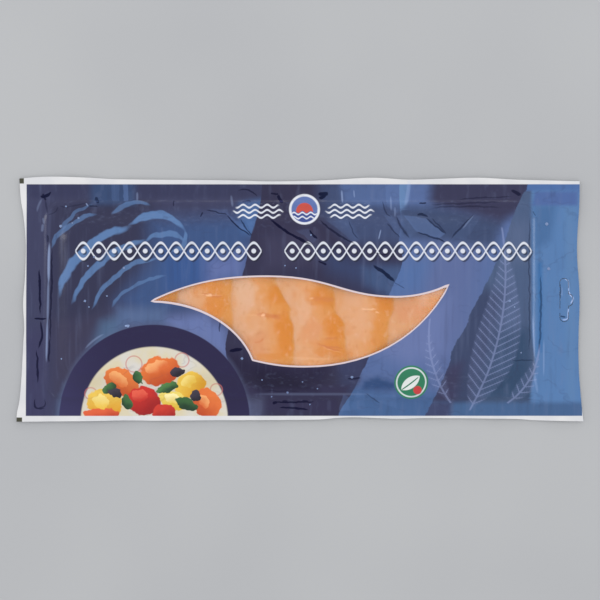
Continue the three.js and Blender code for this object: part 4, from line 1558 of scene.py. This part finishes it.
def salmon_slice(number, material):
    edge = SLICES[number][0]
    across = np.sin(math.pi / 2 * np.linspace(-1, 1, SLICE_CELLS + 1))
    reach = SLICE_WIDTH / 2 * across
    past = np.maximum(np.abs(reach) - (SLICE_WIDTH / 2 - SLICE_CORNER), 0)
    cut = SLICE_CORNER - np.sqrt(SLICE_CORNER**2 - past**2)
    left = slice_left(edge) + cut
    right = shown_edge_x(number, across) - cut
    share = np.linspace(0, 1, SLICE_CELLS + 1)[:, None]
    x = left + (right - left) * share
    y = np.broadcast_to(BOARD_CENTRE[1] + reach, x.shape)
    under = [other for other, _, _ in SLICES[number + 1:]]
    z = sum((slice_rise(other, x, y) for other in under), np.full(x.shape, BOARD_TOP + GAP))
    behind = right - x
    thickness = np.minimum(slice_rise(edge, x, y) - GAP, SHOWN_TAPER * behind - FLESH_SAG)
    uneven = ripples(x, y, (*FLESH_RIPPLE, 60 + number)) * smoothstep(behind, 1, 6)
    top = np.minimum(z + thickness + uneven, film_z(x, y) - FISH_CLEARANCE)
    top = np.maximum(top, z + LEAST_FLESH)
    z = z - FLESH_SAG * smoothstep(behind, 8, 2)
    grid = np.dstack([x, y])
    shape = sheet(with_z(grid, top), with_z(grid, z), False)
    piece = new_piece(f"flesh_slice_{number + 1}", *shape, material, "salmon")
    points = vertex_places(piece.data)
    shown = shown_edge_x(number, (points[:, 1] - BOARD_CENTRE[1]) / (SLICE_WIDTH / 2))
    store(piece.data, "behind_edge", shown - points[:, 0])
    finish(piece, f"salmon_slice_{number + 1}", 60)


# ---- stage ----
def floor():
    square = FLOOR_HALF * np.array([(-1, -1), (1, -1), (1, 1), (-1, 1)])
    piece = mesh_object("floor", with_height(square, -FLOOR_DROP), np.array([(0, 1, 2, 3)]))
    material, tree, shader = new_material("pale_floor", Roughness=0.8, Specular_IOR_Level=0.1)
    colour = mottled(noise(tree, 0.004, 2.0), FLOOR_DARK, FLOOR_LIGHT)
    connect(colour, shader, "Base Color")
    piece.data.materials.append(material)


def softbox(name, place, size, power):
    """A soft light that aims at the pack."""
    data = bpy.data.lights.new(name, "AREA")
    data.shape = "RECTANGLE"
    data.size, data.size_y = size
    data.energy = power
    light = add_object(name, data)
    light.location = place
    light.rotation_euler = (-Vector(place)).to_track_quat("-Z", "Y").to_euler()


def studio():
    world = bpy.data.worlds.new("studio")
    world.use_nodes = True
    background = world.node_tree.nodes["Background"]
    background.inputs["Color"].default_value = WORLD_TONE
    background.inputs["Strength"].default_value = WORLD_STRENGTH
    scene = bpy.context.scene
    scene.world = world
    scene.view_settings.view_transform = "Standard"
    for box in SOFTBOXES:
        softbox(*box)


def camera():
    data = bpy.data.cameras.new("camera")
    data.lens = CAMERA_LENS
    data.sensor_width = SENSOR
    made = add_object("camera", data)
    middle = px([(PHOTO_PX / 2, PHOTO_PX / 2)])[0] * MM
    view_width = PHOTO_PX * PX_MM * MM
    height = view_width * CAMERA_LENS / SENSOR + PLATEAU_Z * MM
    made.location = (*middle, height)
    bpy.context.scene.camera = made


camera()
printed = print_material()
front_film(printed)
bubbles(blister_material())
back_film(back_material())
window_pane(pane_material())
flesh = salmon_material()
for slice_number in range(len(SLICES)):
    salmon_slice(slice_number, flesh)
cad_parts["board"].data.materials.clear()
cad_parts["board"].data.materials.append(card_material())
floor()
studio()
